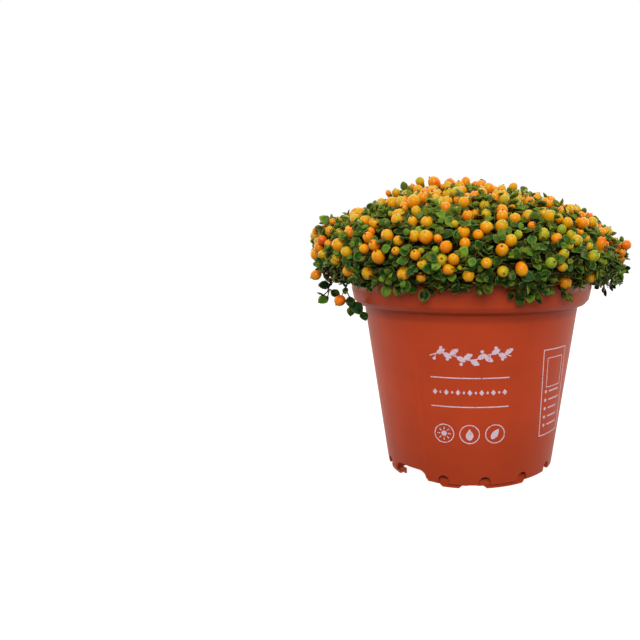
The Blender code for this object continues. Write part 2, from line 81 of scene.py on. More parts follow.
# Pot: half sections as (radius, height), in the sizes that the frame's pot has.
WALL, FLOOR_TOP, FLOOR_UNDERSIDE = mm(1.4, 4.0, 2.4)
WALL_TOP = mm(53.3, 81.0)
WALL_FOOT = mm(42.2, 1.9)
BAND_INSIDE = (mm(51.9, 81.9), mm(56.6, 85.2), mm(58.3, 94.6), (58.7 * MM, POT_HEIGHT))
BAND_OUTSIDE = ((RIM_RADIUS, POT_HEIGHT), mm(59.6, 89.8), mm(58.5, 84.6), mm(56.6, 82.4))
MERGE_WITHIN = 0.005 * MM
SHARP_FROM = radians(32.0)
CUT_PAST = 2.0 * MM
LIP_SEGMENTS = 3

# Drain arches and water channels stand at equal places round the foot. The azimuths are in degrees.
PLACES = 14
FIRST_PLACE = 9.6
CHANNEL_PLACES = (5, 12)
ARCH_WIDTH, ARCH_TOP, ARCH_DEPTH = mm(5.4, 6.0, 2.0)
ARCH_SIDES = 28
ARCH_NARROWED = 0.995
CHANNEL_WIDTH, CHANNEL_DEPTH, CHANNEL_TOP, CHANNEL_ROUNDING = mm(17.6, 17.0, 6.6, 2.4)
CHANNEL_SLOPE = 0.44
CHANNEL_SEGMENTS = 8

# Feet: arcs of a broken ring with drawn-in ends, each on a longer arc that holds it to the wall.
FOOT_SPANS = ((-19.4, -4.6), (9.2, 38.6), (77.0, 97.0), (108.0, 127.0))
FOOT_WIDTH, FOOT_INSET, FOOT_HEIGHT = mm(1.3, 0.9, 1.25)
FOOT_DRAFT, FOOT_STEP, SAME_AZIMUTH = 2.2, 2.0, 0.01
HOLDER_TOP, HOLDER_INSET, HOLDER_OVERLAP = mm(3.6, 1.6, 0.2)
HOLDER_REACH = 3.9

# Painted shade on the wall: up from its foot, and a painted shadow under the rim band with its core and fade.
PAINTED_SHADE_UP_TO = 42.0 * MM
RIM_SHADOW_HEIGHT, RIM_SHADOW_CORE, RIM_SHADOW_FADE = mm(79.6, 0.4, 3.2)

# Mat: the crown's form, as the frame's leaf mat has it, rolled under at its edge.
SOIL_TOP, MAT_RADIUS, MAT_TOP, MAT_WIDEST = mm(90.2, 71.8, 139.0, 104.0)
MAT_SHOULDER = 1.75
MAT_STEP = 0.01
MAT_BANDS = 240
MAT_LUMPS, MAT_LEAN, SHOULDER_SINK, TOP_SINK = mm(1.3, 2.2, 1.4, 2.4)
SWELLS = ((1.0, 2.0, 0.6), (0.7, 3.0, -1.1), (0.4, 5.0, 2.0))
CREST = Vector(mm(-16.0, -7.0))
CREST_RISE, CREST_WIDTH = mm(2.4, 13.0)
TUFT_TURN = radians(-88.0)
TUFT_SPREAD = 0.28
TUFT_SHARE = 0.2
TUFT_DEPTH = 0.13
TUFT_REACH = 4.55 * MM
ROLL_IN, ROLL_DOWN = mm(8.5, 7.6)
TOPMOST = 0.995

# Tangle: rings of the mat's skin, then a plug that goes down to the soil, and the stems that creep on it.
TANGLE_INSET, TANGLE_LUMP, TANGLE_ROUGHNESS = mm(3.0, 4.0, 1.2)
TANGLE_ROUND = 96
TANGLE_RINGS = 44
PLUG_RADIUS = 52.0 * MM
PLUG_FOOT = SOIL_TOP + 0.4 * MM
PLUG = (
    (PLUG_RADIUS, MAT_WIDEST - ROLL_DOWN),
    (PLUG_RADIUS, PLUG_FOOT),
    (PLUG_RADIUS / 2.0, PLUG_FOOT),
    (0.0, PLUG_FOOT),
)
RUNNERS = 260
RUNNER_POINTS = 7
RUNNER_SHARES = (-0.7, 0.9)
RUNNER_LIMIT = 0.95
RUNNER_BEND = 0.35
RUNNER_STEP = (0.045, 0.05)
RUNNER_LIFT, RUNNER_WOBBLE = mm(2.0, 0.4)

# Stems that trail over the rim: azimuth in degrees, how far each reaches out and how low its tip hangs in mm.
# Then how each is dressed: points shown, shoots, leaf pairs, leaf size, spread in mm, tone, berry's step.
TRAILS = (
    (-84.0, 72.0, 84.0, 10, 0, 1, 1.12, 2.2, -0.3, None),
    (-60.0, 67.0, 76.0, 8, 0, 1, 1.15, 2.0, -0.38, None),
    (-20.0, 66.0, 85.0, 8, 3, 2, 0.95, 3.4, -0.3, None),
    (22.0, 66.0, 84.0, 9, 9, 2, 1.0, 5.4, -0.2, None),
    (48.0, 67.0, 85.0, 8, 2, 1, 0.6, 2.6, -0.3, None),
    (86.0, 73.0, 84.0, 9, 10, 1, 0.4, 5.6, -0.34, None),
    (138.0, 68.0, 80.0, 11, 8, 2, 0.95, 3.4, -0.1, 10),
    (212.0, 68.0, 78.0, 11, 8, 2, 0.95, 3.4, -0.1, None),
)
TRAIL_ROOT = mm(54.4, 84.2)
TRAIL_RISE = (mm(54.4, 92.6), mm(55.1, 95.6), mm(57.0, 97.1))
RIM_CROSSING = mm(61.5, 97.3)
TRAIL_STEPS = 6
TRAIL_SWAY = 2.0
TRAIL_POWERS = (0.9, 1.1)
HANGS_FROM = 4
STEM_TAPER = 0.8
TRAIL_STEM, SHOWN_STEM, SIDE_STEM, FRUIT_STEM = mm(0.45, 0.32, 0.28, 0.24)
SIDE_OUT = mm(1.0, 3.0)
SIDE_DOWN = mm(-1.0, 1.5)
SIDE_OUTWARD, SIDE_SAG, SIDE_TURN, SIDE_LEAN = 0.9, 0.35, 6.0 * MM, 20.0
FRUIT_OFF, FRUIT_TONE = 1.3, 0.85

# The photograph's frame in pixels, and where the pot's axis stands in it.
FRAME = 640.0
AXIS_ACROSS = 470.5
SENSOR = 36.0
SHIFT = -0.19

# Berries that the photograph shows plainly, by ripeness from green at 0 to red: pixels across, down and wide.
SEEN_BERRIES = {
    0.04: (
        (420, 181.5, 9), (419.5, 231, 9.5), (435.5, 250, 7.5), (518, 235, 9), (551, 263, 12),
        (570, 246, 7.5), (589, 246.5, 8),
    ),
    0.24: (
        (319, 242, 10), (340, 232, 8), (347, 252, 11), (336.5, 259.5, 12), (368, 219.5, 9), (396, 192.5, 8),
        (393, 203, 9), (416.5, 212, 10.5), (438, 195, 10), (448, 194, 10), (466, 193, 10), (475, 194, 7),
        (484.5, 206, 11), (486, 214.5, 11), (501.5, 226.5, 13.5), (503, 271.5, 12), (568, 224, 9),
        (466, 203, 12), (513, 187, 9), (422.5, 264.5, 11), (421, 251, 7), (612, 243, 6), (455, 224, 8),
    ),
    0.13: ((593, 256.5, 12.5),),
    0.37: (
        (368.5, 273, 13), (381.5, 203, 9.5), (416, 197, 11), (398.5, 216, 13.5), (412.5, 222, 10),
        (427, 222.5, 13), (414, 236.5, 12), (398.5, 241, 10.5), (396, 251, 9), (441, 201, 9),
        (515, 219, 12), (528, 216.5, 13), (543, 214, 13), (549, 215, 10), (560, 206.5, 9), (571, 211, 12.5),
        (577.5, 210, 7), (592, 226, 12), (607, 232, 10), (586, 239, 8), (563.5, 254.5, 10.5),
        (590, 276.5, 11), (486.5, 263, 11.5), (468.5, 275, 12), (421.5, 277, 10.5), (501, 190, 9),
        (537, 195, 6),
    ),
    0.53: (
        (332.5, 222, 7), (317.5, 254, 13), (316, 275, 10), (349, 271, 12), (364.5, 249, 10.5),
        (378.5, 257, 13.5), (375, 224, 12), (371, 232, 9), (387.5, 236, 13), (434.5, 183, 12.5),
        (412.5, 187, 6), (449, 183, 8), (395, 198, 7), (404, 202.5, 12), (465.5, 182, 9), (493, 192, 12.5),
        (523, 200, 14.5), (468, 216.5, 12.5), (501.5, 211, 13), (486.5, 228, 14), (532, 226, 9),
        (547.5, 202, 12), (536, 204, 7), (583, 215, 8), (590, 216, 6), (556.5, 239, 12), (577, 232, 6),
        (581, 233, 6), (622, 253, 7), (620, 259.5, 9.5), (565, 281.5, 13), (616, 250, 6), (415.5, 255, 11),
        (404, 273, 14), (446, 247, 12.5), (448.5, 269.5, 12), (502, 250, 13), (521.5, 269, 13),
        (443, 187, 6),
    ),
    0.62: (
        (317, 231, 8), (339.5, 245.5, 15), (350, 230, 9), (356, 213, 10), (388.5, 193, 6), (426, 193, 7),
        (392, 215, 6), (446, 209.5, 13), (428, 207, 7), (458, 201, 9), (475, 214, 9), (478, 235, 11),
        (512, 208, 7), (579, 223, 10), (601.5, 245, 15), (626, 245, 10), (438, 239, 9), (454, 259.5, 12),
    ),
}

# Leaves that it shows plainly, by tone, in the same way.
# Each tone is the leaf's colour with painted light and shade in it.
PALE, BRIGHT, GREEN, DARK = 0.95, 0.78, 0.5, 0.06
SEEN_LEAVES = {
    PALE: ((450, 222, 12), (365, 229, 9), (324, 220, 9.5), (436, 266, 10)),
    BRIGHT: (
        (386, 249, 10), (386, 291.5, 10.5), (501, 233, 8), (482, 183, 8), (452, 277, 10), (386, 222, 9),
        (532, 240, 10), (603, 262, 8), (472, 263, 9), (402, 262, 10), (612, 267.5, 9), (606, 273.5, 8),
        (608, 254, 8), (597, 272, 7), (619, 264, 6),
    ),
    GREEN: (
        (356, 242, 10), (348, 258, 12), (359, 256.5, 12), (376, 243, 12), (440, 231.5, 10), (458, 235, 12),
        (524, 189, 8), (405, 251, 11), (432, 258, 11), (516, 253, 10), (482, 283, 10), (505, 283, 10),
        (512, 276, 9), (541, 247.5, 11), (536, 276, 11), (404, 186, 8), (488, 289, 11), (462, 258, 9),
        (592, 266, 9), (478, 245, 10), (553, 279, 9),
    ),
    DARK: (
        (319, 229, 9), (347, 220, 10), (398, 231, 9), (420, 205, 9), (440, 285, 12), (398, 291, 11),
        (545, 291, 9),
    ),
}

# Shoots that it shows on the trailing stems: where each starts and ends in pixels, its leaf's width and tone.
# Their tones hold painted light and shade as well as the leaves' colour.
SEEN_SHOOTS = {
    1: (
        (334, 281, 324, 285, 10, DARK), (329, 291, 323, 300, 10, BRIGHT), (330, 289, 335.5, 294, 9, DARK),
        (326, 293, 320, 294, 3, DARK), (332, 285, 326, 277, 6, DARK),
    ),
    2: (
        (349, 280, 345.5, 291, 6, DARK), (346, 290, 350.5, 302, 10, DARK), (350, 299, 351, 312, 9, DARK),
        (350, 300, 357, 308, 13, DARK), (357, 307, 364, 316, 9, DARK),
    ),
    3: ((420, 284, 424, 296, 12, DARK), (424, 286, 431, 292, 8, DARK), (417, 284, 413, 290, 8, GREEN)),
    4: (
        (518, 288, 520, 301, 10, GREEN), (516, 286, 511, 296, 8, DARK), (530, 290, 530, 298, 10.5, BRIGHT),
        (536, 289, 539, 299, 9, DARK), (541, 286, 546, 292, 8, DARK),
    ),
    5: (
        (558, 286, 562, 291, 3.4, DARK), (561, 290, 564.5, 296, 4, DARK),
        (565, 293, 569.5, 296, 4.4, GREEN), (564, 295, 567, 299.5, 2.4, DARK),
        (567, 298, 571.5, 301.5, 4.6, BRIGHT),
    ),
    6: (
        (590, 270, 597, 286.5, 5, DARK), (595, 272, 598, 279, 6, DARK), (598, 272, 601, 282, 6, DARK),
        (600, 270, 605, 279, 6, GREEN), (599, 280, 603.5, 289.5, 3.6, DARK), (603, 288, 606, 293, 2, DARK),
        (604, 278, 610.5, 288.5, 2.2, DARK), (606, 279, 612.5, 287, 4.4, DARK),
        (604, 268, 611, 275, 7, GREEN), (608, 275, 616.5, 281.5, 2.4, DARK),
        (612, 273, 620, 280, 2.6, DARK), (612, 266, 617, 272, 6, DARK), (616, 267, 625.5, 272, 4.6, DARK),
        (618, 265, 627, 267.5, 2, DARK), (620, 258, 626.5, 259, 2.6, DARK),
    ),
}

# The berry that it shows on one of them, and how wide a blade looks before it is turned edge-on.
SEEN_TRAIL_BERRY = {2: (340.0, 300.6)}
LEAST_SEEN = 6.5

# Patches of the picture, as pixels across, down and half wide: twigs where the leaves have died back, places
# without more berries, and one where no leaf stands out.
DRY_PATCHES = ((333, 273, 11), (331, 232, 7), (600, 284, 7))
BARE_PATCHES = ((611, 276, 15), (353, 263, 6), (326, 262, 5))
LEAFLESS_PATCHES = ((630, 259, 6),)

# A shoot's leaf pairs, oldest first: how far back from the tip, size, slant in degrees and tone.
LEAF_PAIRS = ((3.6 * MM, 1.0, 4.0, 0.2), (2.0 * MM, 0.94, 20.0, 0.5), (0.6 * MM, 0.6, 48.0, 0.74))
LEAF_SIDES = 10
LEAF_MERGE = 0.002 * MM
LEAF_INSET = 0.38
LEAF_CUPS = (0.24, 0.15, 0.06, -0.08)
LEAF_FOLD = 0.12
CUP_FROM, FOLD_FROM, STALK_SINK = 0.3, 0.4, 0.1
LEAF_TAPER = 0.15
LEAF_POINT = 0.7
LEAF_STALK = 1.6
LEAF_DROOP = 0.05
LEAF_END = 0.9
LEAF_POINTS = ((0.0, 0.5, 0.0), (0.0, 1.0, 0.1), (0.4, 0.5, 0.1), (-0.4, 0.5, 0.1))
LEAF_TWIST, LEAF_SWING, LEAF_SLANT, LEAF_ROLL = 8.0, 10.0, 9.0, 12.0
LEAF_SIZES = (0.86, 1.12)
LEAF_VARIATION = 0.17
LAYERS = ("flank_leaves", "shoulder_leaves", "crown_leaves")
LAYER_STARTS = (0.16, 0.5)

# Shoots: most stand out of the mat and some stay deep in it. Under them is a layer of single old leaf pairs.
SHOOT_DRAWS = 30000
SHOOTS_FROM = -0.98
SHOOT_LEAN, SHOOT_UPTURN = 16.0, 0.3
SHOOT_SIZES = (0.85, 1.12)
SHOOT_VARIATION = 0.06
SHOOT_THINNING = 0.8
DEEP_SHARE = 0.25
DEEP_RISE = mm(-1.0, 2.0)
SHOOT_RISE = mm(1.6, 4.6)
# Painted shade: leaves of deep shoots, and where the mat rolls under, get darker tones.
DEEP_SHADE = -0.12
ROLL_SHADE = -0.16
CROWN_SINK, SHOOT_LENGTH = mm(1.4, 9.0)
UNDER_DRAWS = 12000
UNDER_FROM = -0.9
UNDER_LEAN = 14.0
UNDER_SPACING = 5.0 * MM
UNDER_RISE = mm(-2.0, -0.4)
# Painted shade: the under layer's leaves get a darker tone.
UNDER_SHADE = -0.3
LEAF_CLEARANCE, TWIG_CLEARANCE, RIM_CLEARANCE = mm(0.05, 0.1, 0.3)
SEEN_LEAF_RISE, SEEN_LEAF_STEM = mm(4.2, 0.22)
BLADE_UPTURN, BLADE_LEAN, BLADE_SWING = 0.45, 16.0, 22.0
DRY_LOSS = 0.72
DRY_TWIGS = 34
DRY_LEAN = 70.0
DRY_RISE = mm(-1.0, 2.6)
DRY_LENGTHS = mm(2.0, 5.5)
DRY_RADII = mm(0.14, 0.26)

# Berries stand in clusters of this size, thicker on the crown than on the flank. Each share is one band's.
CLUSTER_SIZE = 11.0 * MM
BERRY_DRAWS = 14000
BERRIES_FROM = -0.62
BERRY_LEAN, BERRY_UPTURN = 24.0, 0.25
BERRY_SPACING = 2.2 * MM
BERRY_BANDS = (0.1, 0.5)
BERRY_SHARES = (0.26, 0.4, 0.6)
FRONT_SHARES = (0.26, 0.46, 3.2)
FRONT_FROM = -0.3
YOUNG_SHARE = 0.1
YOUNG_SIZES = (0.34, 0.55)
YOUNG_TONES = (-0.1, 0.14)
GROWN_SIZES = (0.78, 1.14)
BERRY_RISE = mm(0.4, 2.6)
BERRY_GAP = 0.96
BERRY_REACH = 4.2 * MM
BERRY_TONES = ((0.08, 0.0, 0.12), (0.3, 0.18, 0.32), (0.94, 0.36, 0.6), (1.0, 0.7, 0.8))
SEEN_RISE, SEEN_STEP = mm(3.2, 0.5)
SEEN_TRIES = 16
SEEN_GROWTH = 1.04
SEEN_VARIATION = 0.04
FACING_ROWS, FACING_COLUMNS = 90, 200
FACING_FROM, FACING_REACH = -0.8, 1.79
HIDING_REACH, HIDING_SHARE = 8.0, 0.9
BERRY_SHAPES = 10
BERRY_SEED_STEP = 3.7
BERRY_LOBES, LOBE_SCALE, BERRY_TAPER, BERRY_STRETCH = 0.07, 1.2, 0.09, 1.03
DIMPLE_FROM, DIMPLE_DEPTH = 0.93, 1.6
BERRY_WIDTHS = (0.93, 1.0)
BERRY_LENGTHS = (0.93, 1.16)
STALK_DEPTH, STALK_RADIUS = mm(4.0, 0.3)
SCAR_PLACE = 0.05
STUB_FOOT, STUB_TOP, STUB_HEIGHT, STUB_PLACE = 0.1, 0.17, 0.26, 1.02
STUB_FROM, STUB_REACH = 0.8, 0.2

WHITE = (1.0, 1.0, 1.0)
WARM_WHITE = (1.0, 0.91, 0.72)

FLOOR_RADIUS = 4.0
FLOOR_SIDES = 64

# Soft lights: name, place, size, the setting that holds the power, and colour.
LIGHTS = (
    ("key", (0.03, -0.82, 0.5), 0.5, "key_power", WHITE),
    ("left edge", (-0.8, 0.3, 0.25), 0.6, "edge_power", WARM_WHITE),
    ("right edge", (0.8, 0.3, 0.25), 0.6, "edge_power", WARM_WHITE),
    ("backdrop", (0.0, 0.75, 0.4), 1.4, "backdrop_power", WARM_WHITE),
)

Spot = namedtuple("Spot", "place normal share turn")
Berry = namedtuple("Berry", "centre axis radius tone spot")


def linear(text):
    """A hex sRGB colour as linear RGBA."""
    channels = [int(text[i : i + 2], 16) / 255.0 for i in (1, 3, 5)]
    return (*[c / 12.92 if c <= 0.04045 else ((c + 0.055) / 1.055) ** 2.4 for c in channels], 1.0)


def colour(name, description, text):
    """A colour that a user may change."""
    return FloatVectorProperty(
        name=name, description=description, subtype="COLOR", size=4, min=0.0, max=1.0, default=linear(text)
    )


def length(name, description, size):
    """A length in mm that a user may change."""
    return FloatProperty(name=name, description=description, unit="LENGTH", default=size * MM)


def number(name, description, value):
    """A plain number that a user may change."""
    return FloatProperty(name=name, description=description, default=value)


class PotSettings(bpy.types.PropertyGroup):
    """Sizes and colours of the pot and its print."""

    wall_colour: colour("Wall colour", "Terracotta-coloured plastic", "#b23d1a")
    ink_colour: colour("Ink colour", "Screen-printed ink", "#cdb6c4")
    peat_colour: colour("Peat colour", "Moist peat", "#2b1d13")
    lip_rounding: length("Lip rounding", "Radius of the rim's moulded corners", 0.35)
    ink_thickness: length("Ink thickness", "How far the print stands on the wall", 0.06)
    steps: IntProperty(name="Steps", description="Stations round the pot", default=180, min=24)


class PlantSettings(bpy.types.PropertyGroup):
    """Sizes and colours of the plant."""

    leaf_length: length("Leaf length", "Length of a grown leaf", 4.6)
    leaf_width: length("Leaf width", "Width of a grown leaf", 4.35)
    leaf_thickness: length("Leaf thickness", "Thickness of the fleshy blade", 0.35)
    shoot_spacing: length("Shoot spacing", "Least distance between two shoots", 4.1)
    berry_radius: length("Berry radius", "Radius of an average berry", 2.65)
    stem_radius: length("Stem radius", "Radius of a creeping stem", 0.32)
    crown_berries: IntProperty(name="Berries", description="Berries on the mat", default=520, min=1)
    seed: IntProperty(name="Seed", description="Start of every random draw", default=7)
    old_leaf: colour("Old leaf", "Shaded, older leaves", "#0d2004")
    grown_leaf: colour("Grown leaf", "Grown leaves", "#20440b")
    cool_leaf: colour("Cool leaf", "Bluish green of some leaves", "#12441e")
    young_leaf: colour("Young leaf", "Young leaves", "#6c902a")
    sunned_leaf: colour("Sunned leaf", "Leaves on the crown", "#7c7018")
    leaf_margin: colour("Leaf margin", "Pale rim of each leaf", "#8b9a44")
    stem_colour: colour("Stems", "Creeping stems", "#463c12")
    ripe_berry: colour("Ripe berry", "Most of the berries", "#d88003")
    unripe_berry: colour("Unripe berry", "The greenest berries", "#7f921e")


class StageSettings(bpy.types.PropertyGroup):
    """Camera, floor and lights."""

    camera_back: length("Camera distance", "From the pot's axis to the lens", 304.7)
    camera_height: length("Camera height", "Height of the lens over the floor", 110.1)
    lens: number("Lens", "Focal length in mm on a 36 mm sensor", 33.75)
    pitch: FloatProperty(
        name="Pitch", description="How far the camera looks down", subtype="ANGLE", default=radians(7.0)
    )
    floor_colour: colour("Floor", "Pale floor", "#5a5a58")
    floor_glow: number("Floor glow", "How bright the lit floor looks", 0.97)
    floor_sheen: number("Floor sheen", "How bright the floor is in reflections", 0.5)
    floor_fill: number("Floor fill", "How much light the floor gives off", 0.05)
    overhead: number("Overhead", "Strength of the light from above", 1.06)
    sides: number("Sides", "Strength of the light from the sides", 0.33)
    key_power: number("Key", "Power of the soft key light in watts", 6.8)
    edge_power: number("Edges", "Power of each edge light in watts", 4.0)
    backdrop_power: number("Backdrop", "Power of the lit backdrop in watts", 10.0)


# Meshes


def around(turn, radius, height):
    """The point at this azimuth in radians, radius and height."""
    return Vector((radius * sin(turn), -radius * cos(turn), height))


def polar(azimuth, radius, height):
    """The same, with the azimuth in degrees."""
    return around(radians(azimuth), radius, height)


def aimed(direction):
    """The turn that points +Z this way."""
    return direction.to_track_quat("Z", "Y").to_matrix().to_4x4()


def mesh_from(bm, name):
    """Turns a bmesh into a mesh and frees it."""
    mesh = bpy.data.meshes.new(name)
    bm.to_mesh(mesh)
    bm.free()
    return mesh


def link(name, bm):
    """An object of this shape in the scene."""
    piece = bpy.data.objects.new(name, mesh_from(bm, name))
    bpy.context.scene.collection.objects.link(piece)
    return piece


def dress(piece, material, slot, *nodes):
    """Gives a finished piece its material and its place in the frame."""
    if not piece.data.polygons:
        raise RuntimeError(f"{piece.name} has no faces")
    piece.data.materials.clear()
    piece.data.materials.append(material)
    piece.data.shade_smooth()
    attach(piece, BODY)
    if nodes:
        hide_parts(*nodes)
    return piece


def add_cone(bm, sides, low, high, height, matrix):
    """A closed cone along Z, with its radius low down and high up."""
    bmesh.ops.create_cone(
        bm, cap_ends=True, segments=sides, radius1=low, radius2=high, depth=height, matrix=matrix
    )


def combine(piece, operation, parts, solver="EXACT"):
    """Joins the parts to the piece, or cuts them from it, in one Boolean."""
    group = bpy.data.collections.new("parts")
    tools = [bpy.data.objects.new("part", mesh_from(bm, "part")) for bm in parts]
    for tool in tools:
        group.objects.link(tool)
    modifier = piece.modifiers.new("Combine", "BOOLEAN")
    modifier.operation = operation
    modifier.solver = solver
    modifier.operand_type = "COLLECTION"
    modifier.collection = group
    graph = bpy.context.evaluated_depsgraph_get()
    mesh = bpy.data.meshes.new_from_object(piece.evaluated_get(graph))
    piece.modifiers.clear()
    piece.data = mesh
    for tool in tools:
        bpy.data.objects.remove(tool)
    bpy.data.collections.remove(group)


def add_copy(bm, shape, matrix, tone=0.0):
    """Adds a copy of a small mesh at this place, with its own tone."""
    copy = shape.copy()
    copy.transform(matrix)
    copy.attributes["tone"].data.foreach_set("value", [tone] * len(copy.vertices))
    bm.from_mesh(copy)
    bpy.data.meshes.remove(copy)


def shape_with(bm, name, **fields):
    """A small mesh to be copied, with a tone and one float attribute for each named function of a point."""
    mesh = mesh_from(bm, name)
    mesh.attributes.new("tone", "FLOAT", "POINT")
    for field, worth in fields.items():
        values = [worth(vert.co) for vert in mesh.vertices]
        mesh.attributes.new(field, "FLOAT", "POINT").data.foreach_set("value", values)
    return mesh


def tree_of(points):
    """A tree that finds these points by where they lie."""
    tree = kdtree.KDTree(len(points))
    for index, point in enumerate(points):
        tree.insert(point, index)
    tree.balance()
    return tree


# Materials

SMOOTH = {"interpolation_type": "SMOOTHSTEP"}


def add_node(tree, kind, *inputs, out=None, stops=(), **named):
    """Adds a node and gives its output.

    Names in small letters are settings and come first. The others are sockets, which take a value or a link.
    """
    node = tree.nodes.new("ShaderNode" + kind)
    for name, value in (*named.items(), *enumerate(inputs)):
        if isinstance(name, str) and name[0].islower():
            setattr(node, name, value)
            continue
        socket = node.inputs[name.replace("_", " ") if isinstance(name, str) else name]
        if isinstance(value, bpy.types.NodeSocket):
            tree.links.new(value, socket)
        else:
            socket.default_value = value
    if stops:
        elements = node.color_ramp.elements
        while len(elements) < len(stops):
            elements.new(1.0)
        for element, (position, stop) in zip(elements, stops):
            element.position = position
            element.color = stop
    return node.outputs[out] if out else next(socket for socket in node.outputs if socket.enabled)


def new_material(name, **values):
    """A Principled material, with the values that are the same all over it set on the shader."""
    material = bpy.data.materials.new(name)
    material.use_nodes = True
    for socket, value in values.items():
        material.node_tree.nodes["Principled BSDF"].inputs[socket.replace("_", " ")].default_value = value
    return material, material.node_tree


def surface(tree, skin, relief=None, depth=0.0):
    """Gives the shader its colour and, where there is one, a relief up to this depth in metres."""
    shader = tree.nodes["Principled BSDF"]
    tree.links.new(skin, shader.inputs["Base Color"])
    if relief is not None:
        tree.links.new(add_node(tree, "Bump", Distance=depth, Height=relief), shader.inputs["Normal"])


def grain(tree, size, detail=3.0):
    """Noise on the object's own coordinates, with grains of this size in metres."""
    where = add_node(tree, "TexCoord", out="Object")
    return add_node(tree, "TexNoise", Vector=where, Scale=1.0 / size, Detail=detail, Roughness=0.55)


def shaded(tint, share):
    """The colour, this many times as bright."""
    return (*[share * channel for channel in tint[:3]], 1.0)


def moulded_polypropylene(pot):
    """Injection-moulded, dyed polypropylene: a satin wall, with painted shade low down and under its rim."""
    material, tree = new_material("moulded polypropylene", Roughness=0.4, Specular_IOR_Level=0.2)
    wall = pot.wall_colour
    stops = ((0.3, shaded(wall, 0.94)), (0.5, tuple(wall)), (0.72, shaded(wall, 1.05)))
    tint = add_node(tree, "ValToRGB", grain(tree, 14.0 * MM, 4.0), stops=stops)
    height = add_node(tree, "SeparateXYZ", add_node(tree, "TexCoord", out="Object"), out="Z")
    # Painted shade: the wall darkens towards its foot.
    foot_shade = add_node(tree, "MapRange", **SMOOTH, Value=height, From_Max=PAINTED_SHADE_UP_TO, To_Min=0.78)
    # Painted shadow: the wall darkens in a band just under the rim band.
    off = add_node(tree, "Math", height, RIM_SHADOW_HEIGHT, operation="SUBTRACT")
    gap = add_node(tree, "Math", off, operation="ABSOLUTE")
    ring = {"From_Min": RIM_SHADOW_CORE, "From_Max": RIM_SHADOW_FADE, "To_Min": 0.74}
    bright = add_node(tree, "MapRange", **SMOOTH, **ring, Value=gap, To_Max=foot_shade)
    shaded_wall = add_node(tree, "VectorMath", tint, operation="SCALE", Scale=bright)
    surface(tree, shaded_wall, grain(tree, 0.9 * MM), 0.03 * MM)
    return material


def screen_ink(pot):
    """Screen-printed ink. It gives a flat, faintly worn pale mark with the wall showing in its pinholes."""
    material, tree = new_material("screen-printed ink", Roughness=0.55)
    stops = ((0.34, tuple(pot.wall_colour)), (0.42, tuple(pot.ink_colour)))
    surface(tree, add_node(tree, "ValToRGB", grain(tree, 0.8 * MM, 4.0), stops=stops))
    return material


def moist_peat(pot):
    """Moist milled peat. It gives a dark, crumbly, matte surface."""
    material, tree = new_material("moist milled peat", Roughness=0.95)
    crumbs = grain(tree, 2.2 * MM, 6.0)
    stops = ((0.35, tuple(pot.peat_colour)), (0.7, shaded(pot.peat_colour, 2.2)))
    surface(tree, add_node(tree, "ValToRGB", crumbs, stops=stops), crumbs, 0.8 * MM)
    return material


def living_leaf(plant):
    """A fleshy living leaf with a waxy skin. It gives a satin green, paler at the rim and on young leaves."""
    material, tree = new_material("living leaf", Roughness=0.34, Specular_IOR_Level=0.07)
    tone, rim = [add_node(tree, "Attribute", attribute_name=name, out="Fac") for name in ("tone", "rim")]
    height = add_node(tree, "SeparateXYZ", add_node(tree, "TexCoord", out="Object"), out="Z")
    varied = add_node(tree, "Math", grain(tree, 1.6 * MM, 2.0), 0.44, -0.22, operation="MULTIPLY_ADD")
    age = add_node(tree, "Math", tone, varied, operation="ADD", use_clamp=True)
    stops = ((0.0, tuple(plant.old_leaf)), (0.5, tuple(plant.grown_leaf)), (1.0, tuple(plant.young_leaf)))
    skin = add_node(tree, "ValToRGB", age, stops=stops)
    cool, sun, yellowing, edge = [
        add_node(tree, "MapRange", **SMOOTH, Value=signal, From_Min=low, From_Max=high, To_Max=most)
        for signal, low, high, most in (
            (grain(tree, 7.0 * MM, 1.0), 0.47, 0.63, 0.6),
            (height, 108.0 * MM, 140.0 * MM, 0.3),
            (grain(tree, 3.4 * MM, 2.0), 0.51, 0.66, 0.55),
            (rim, 0.7, 1.0, 0.48),
        )
    ]
    warm = add_node(tree, "Math", sun, yellowing, operation="MAXIMUM")
    for share, tint in ((cool, plant.cool_leaf), (warm, plant.sunned_leaf), (edge, plant.leaf_margin)):
        skin = add_node(tree, "Mix", data_type="RGBA", Factor=share, A=skin, B=tuple(tint))
    surface(tree, skin)
    return material


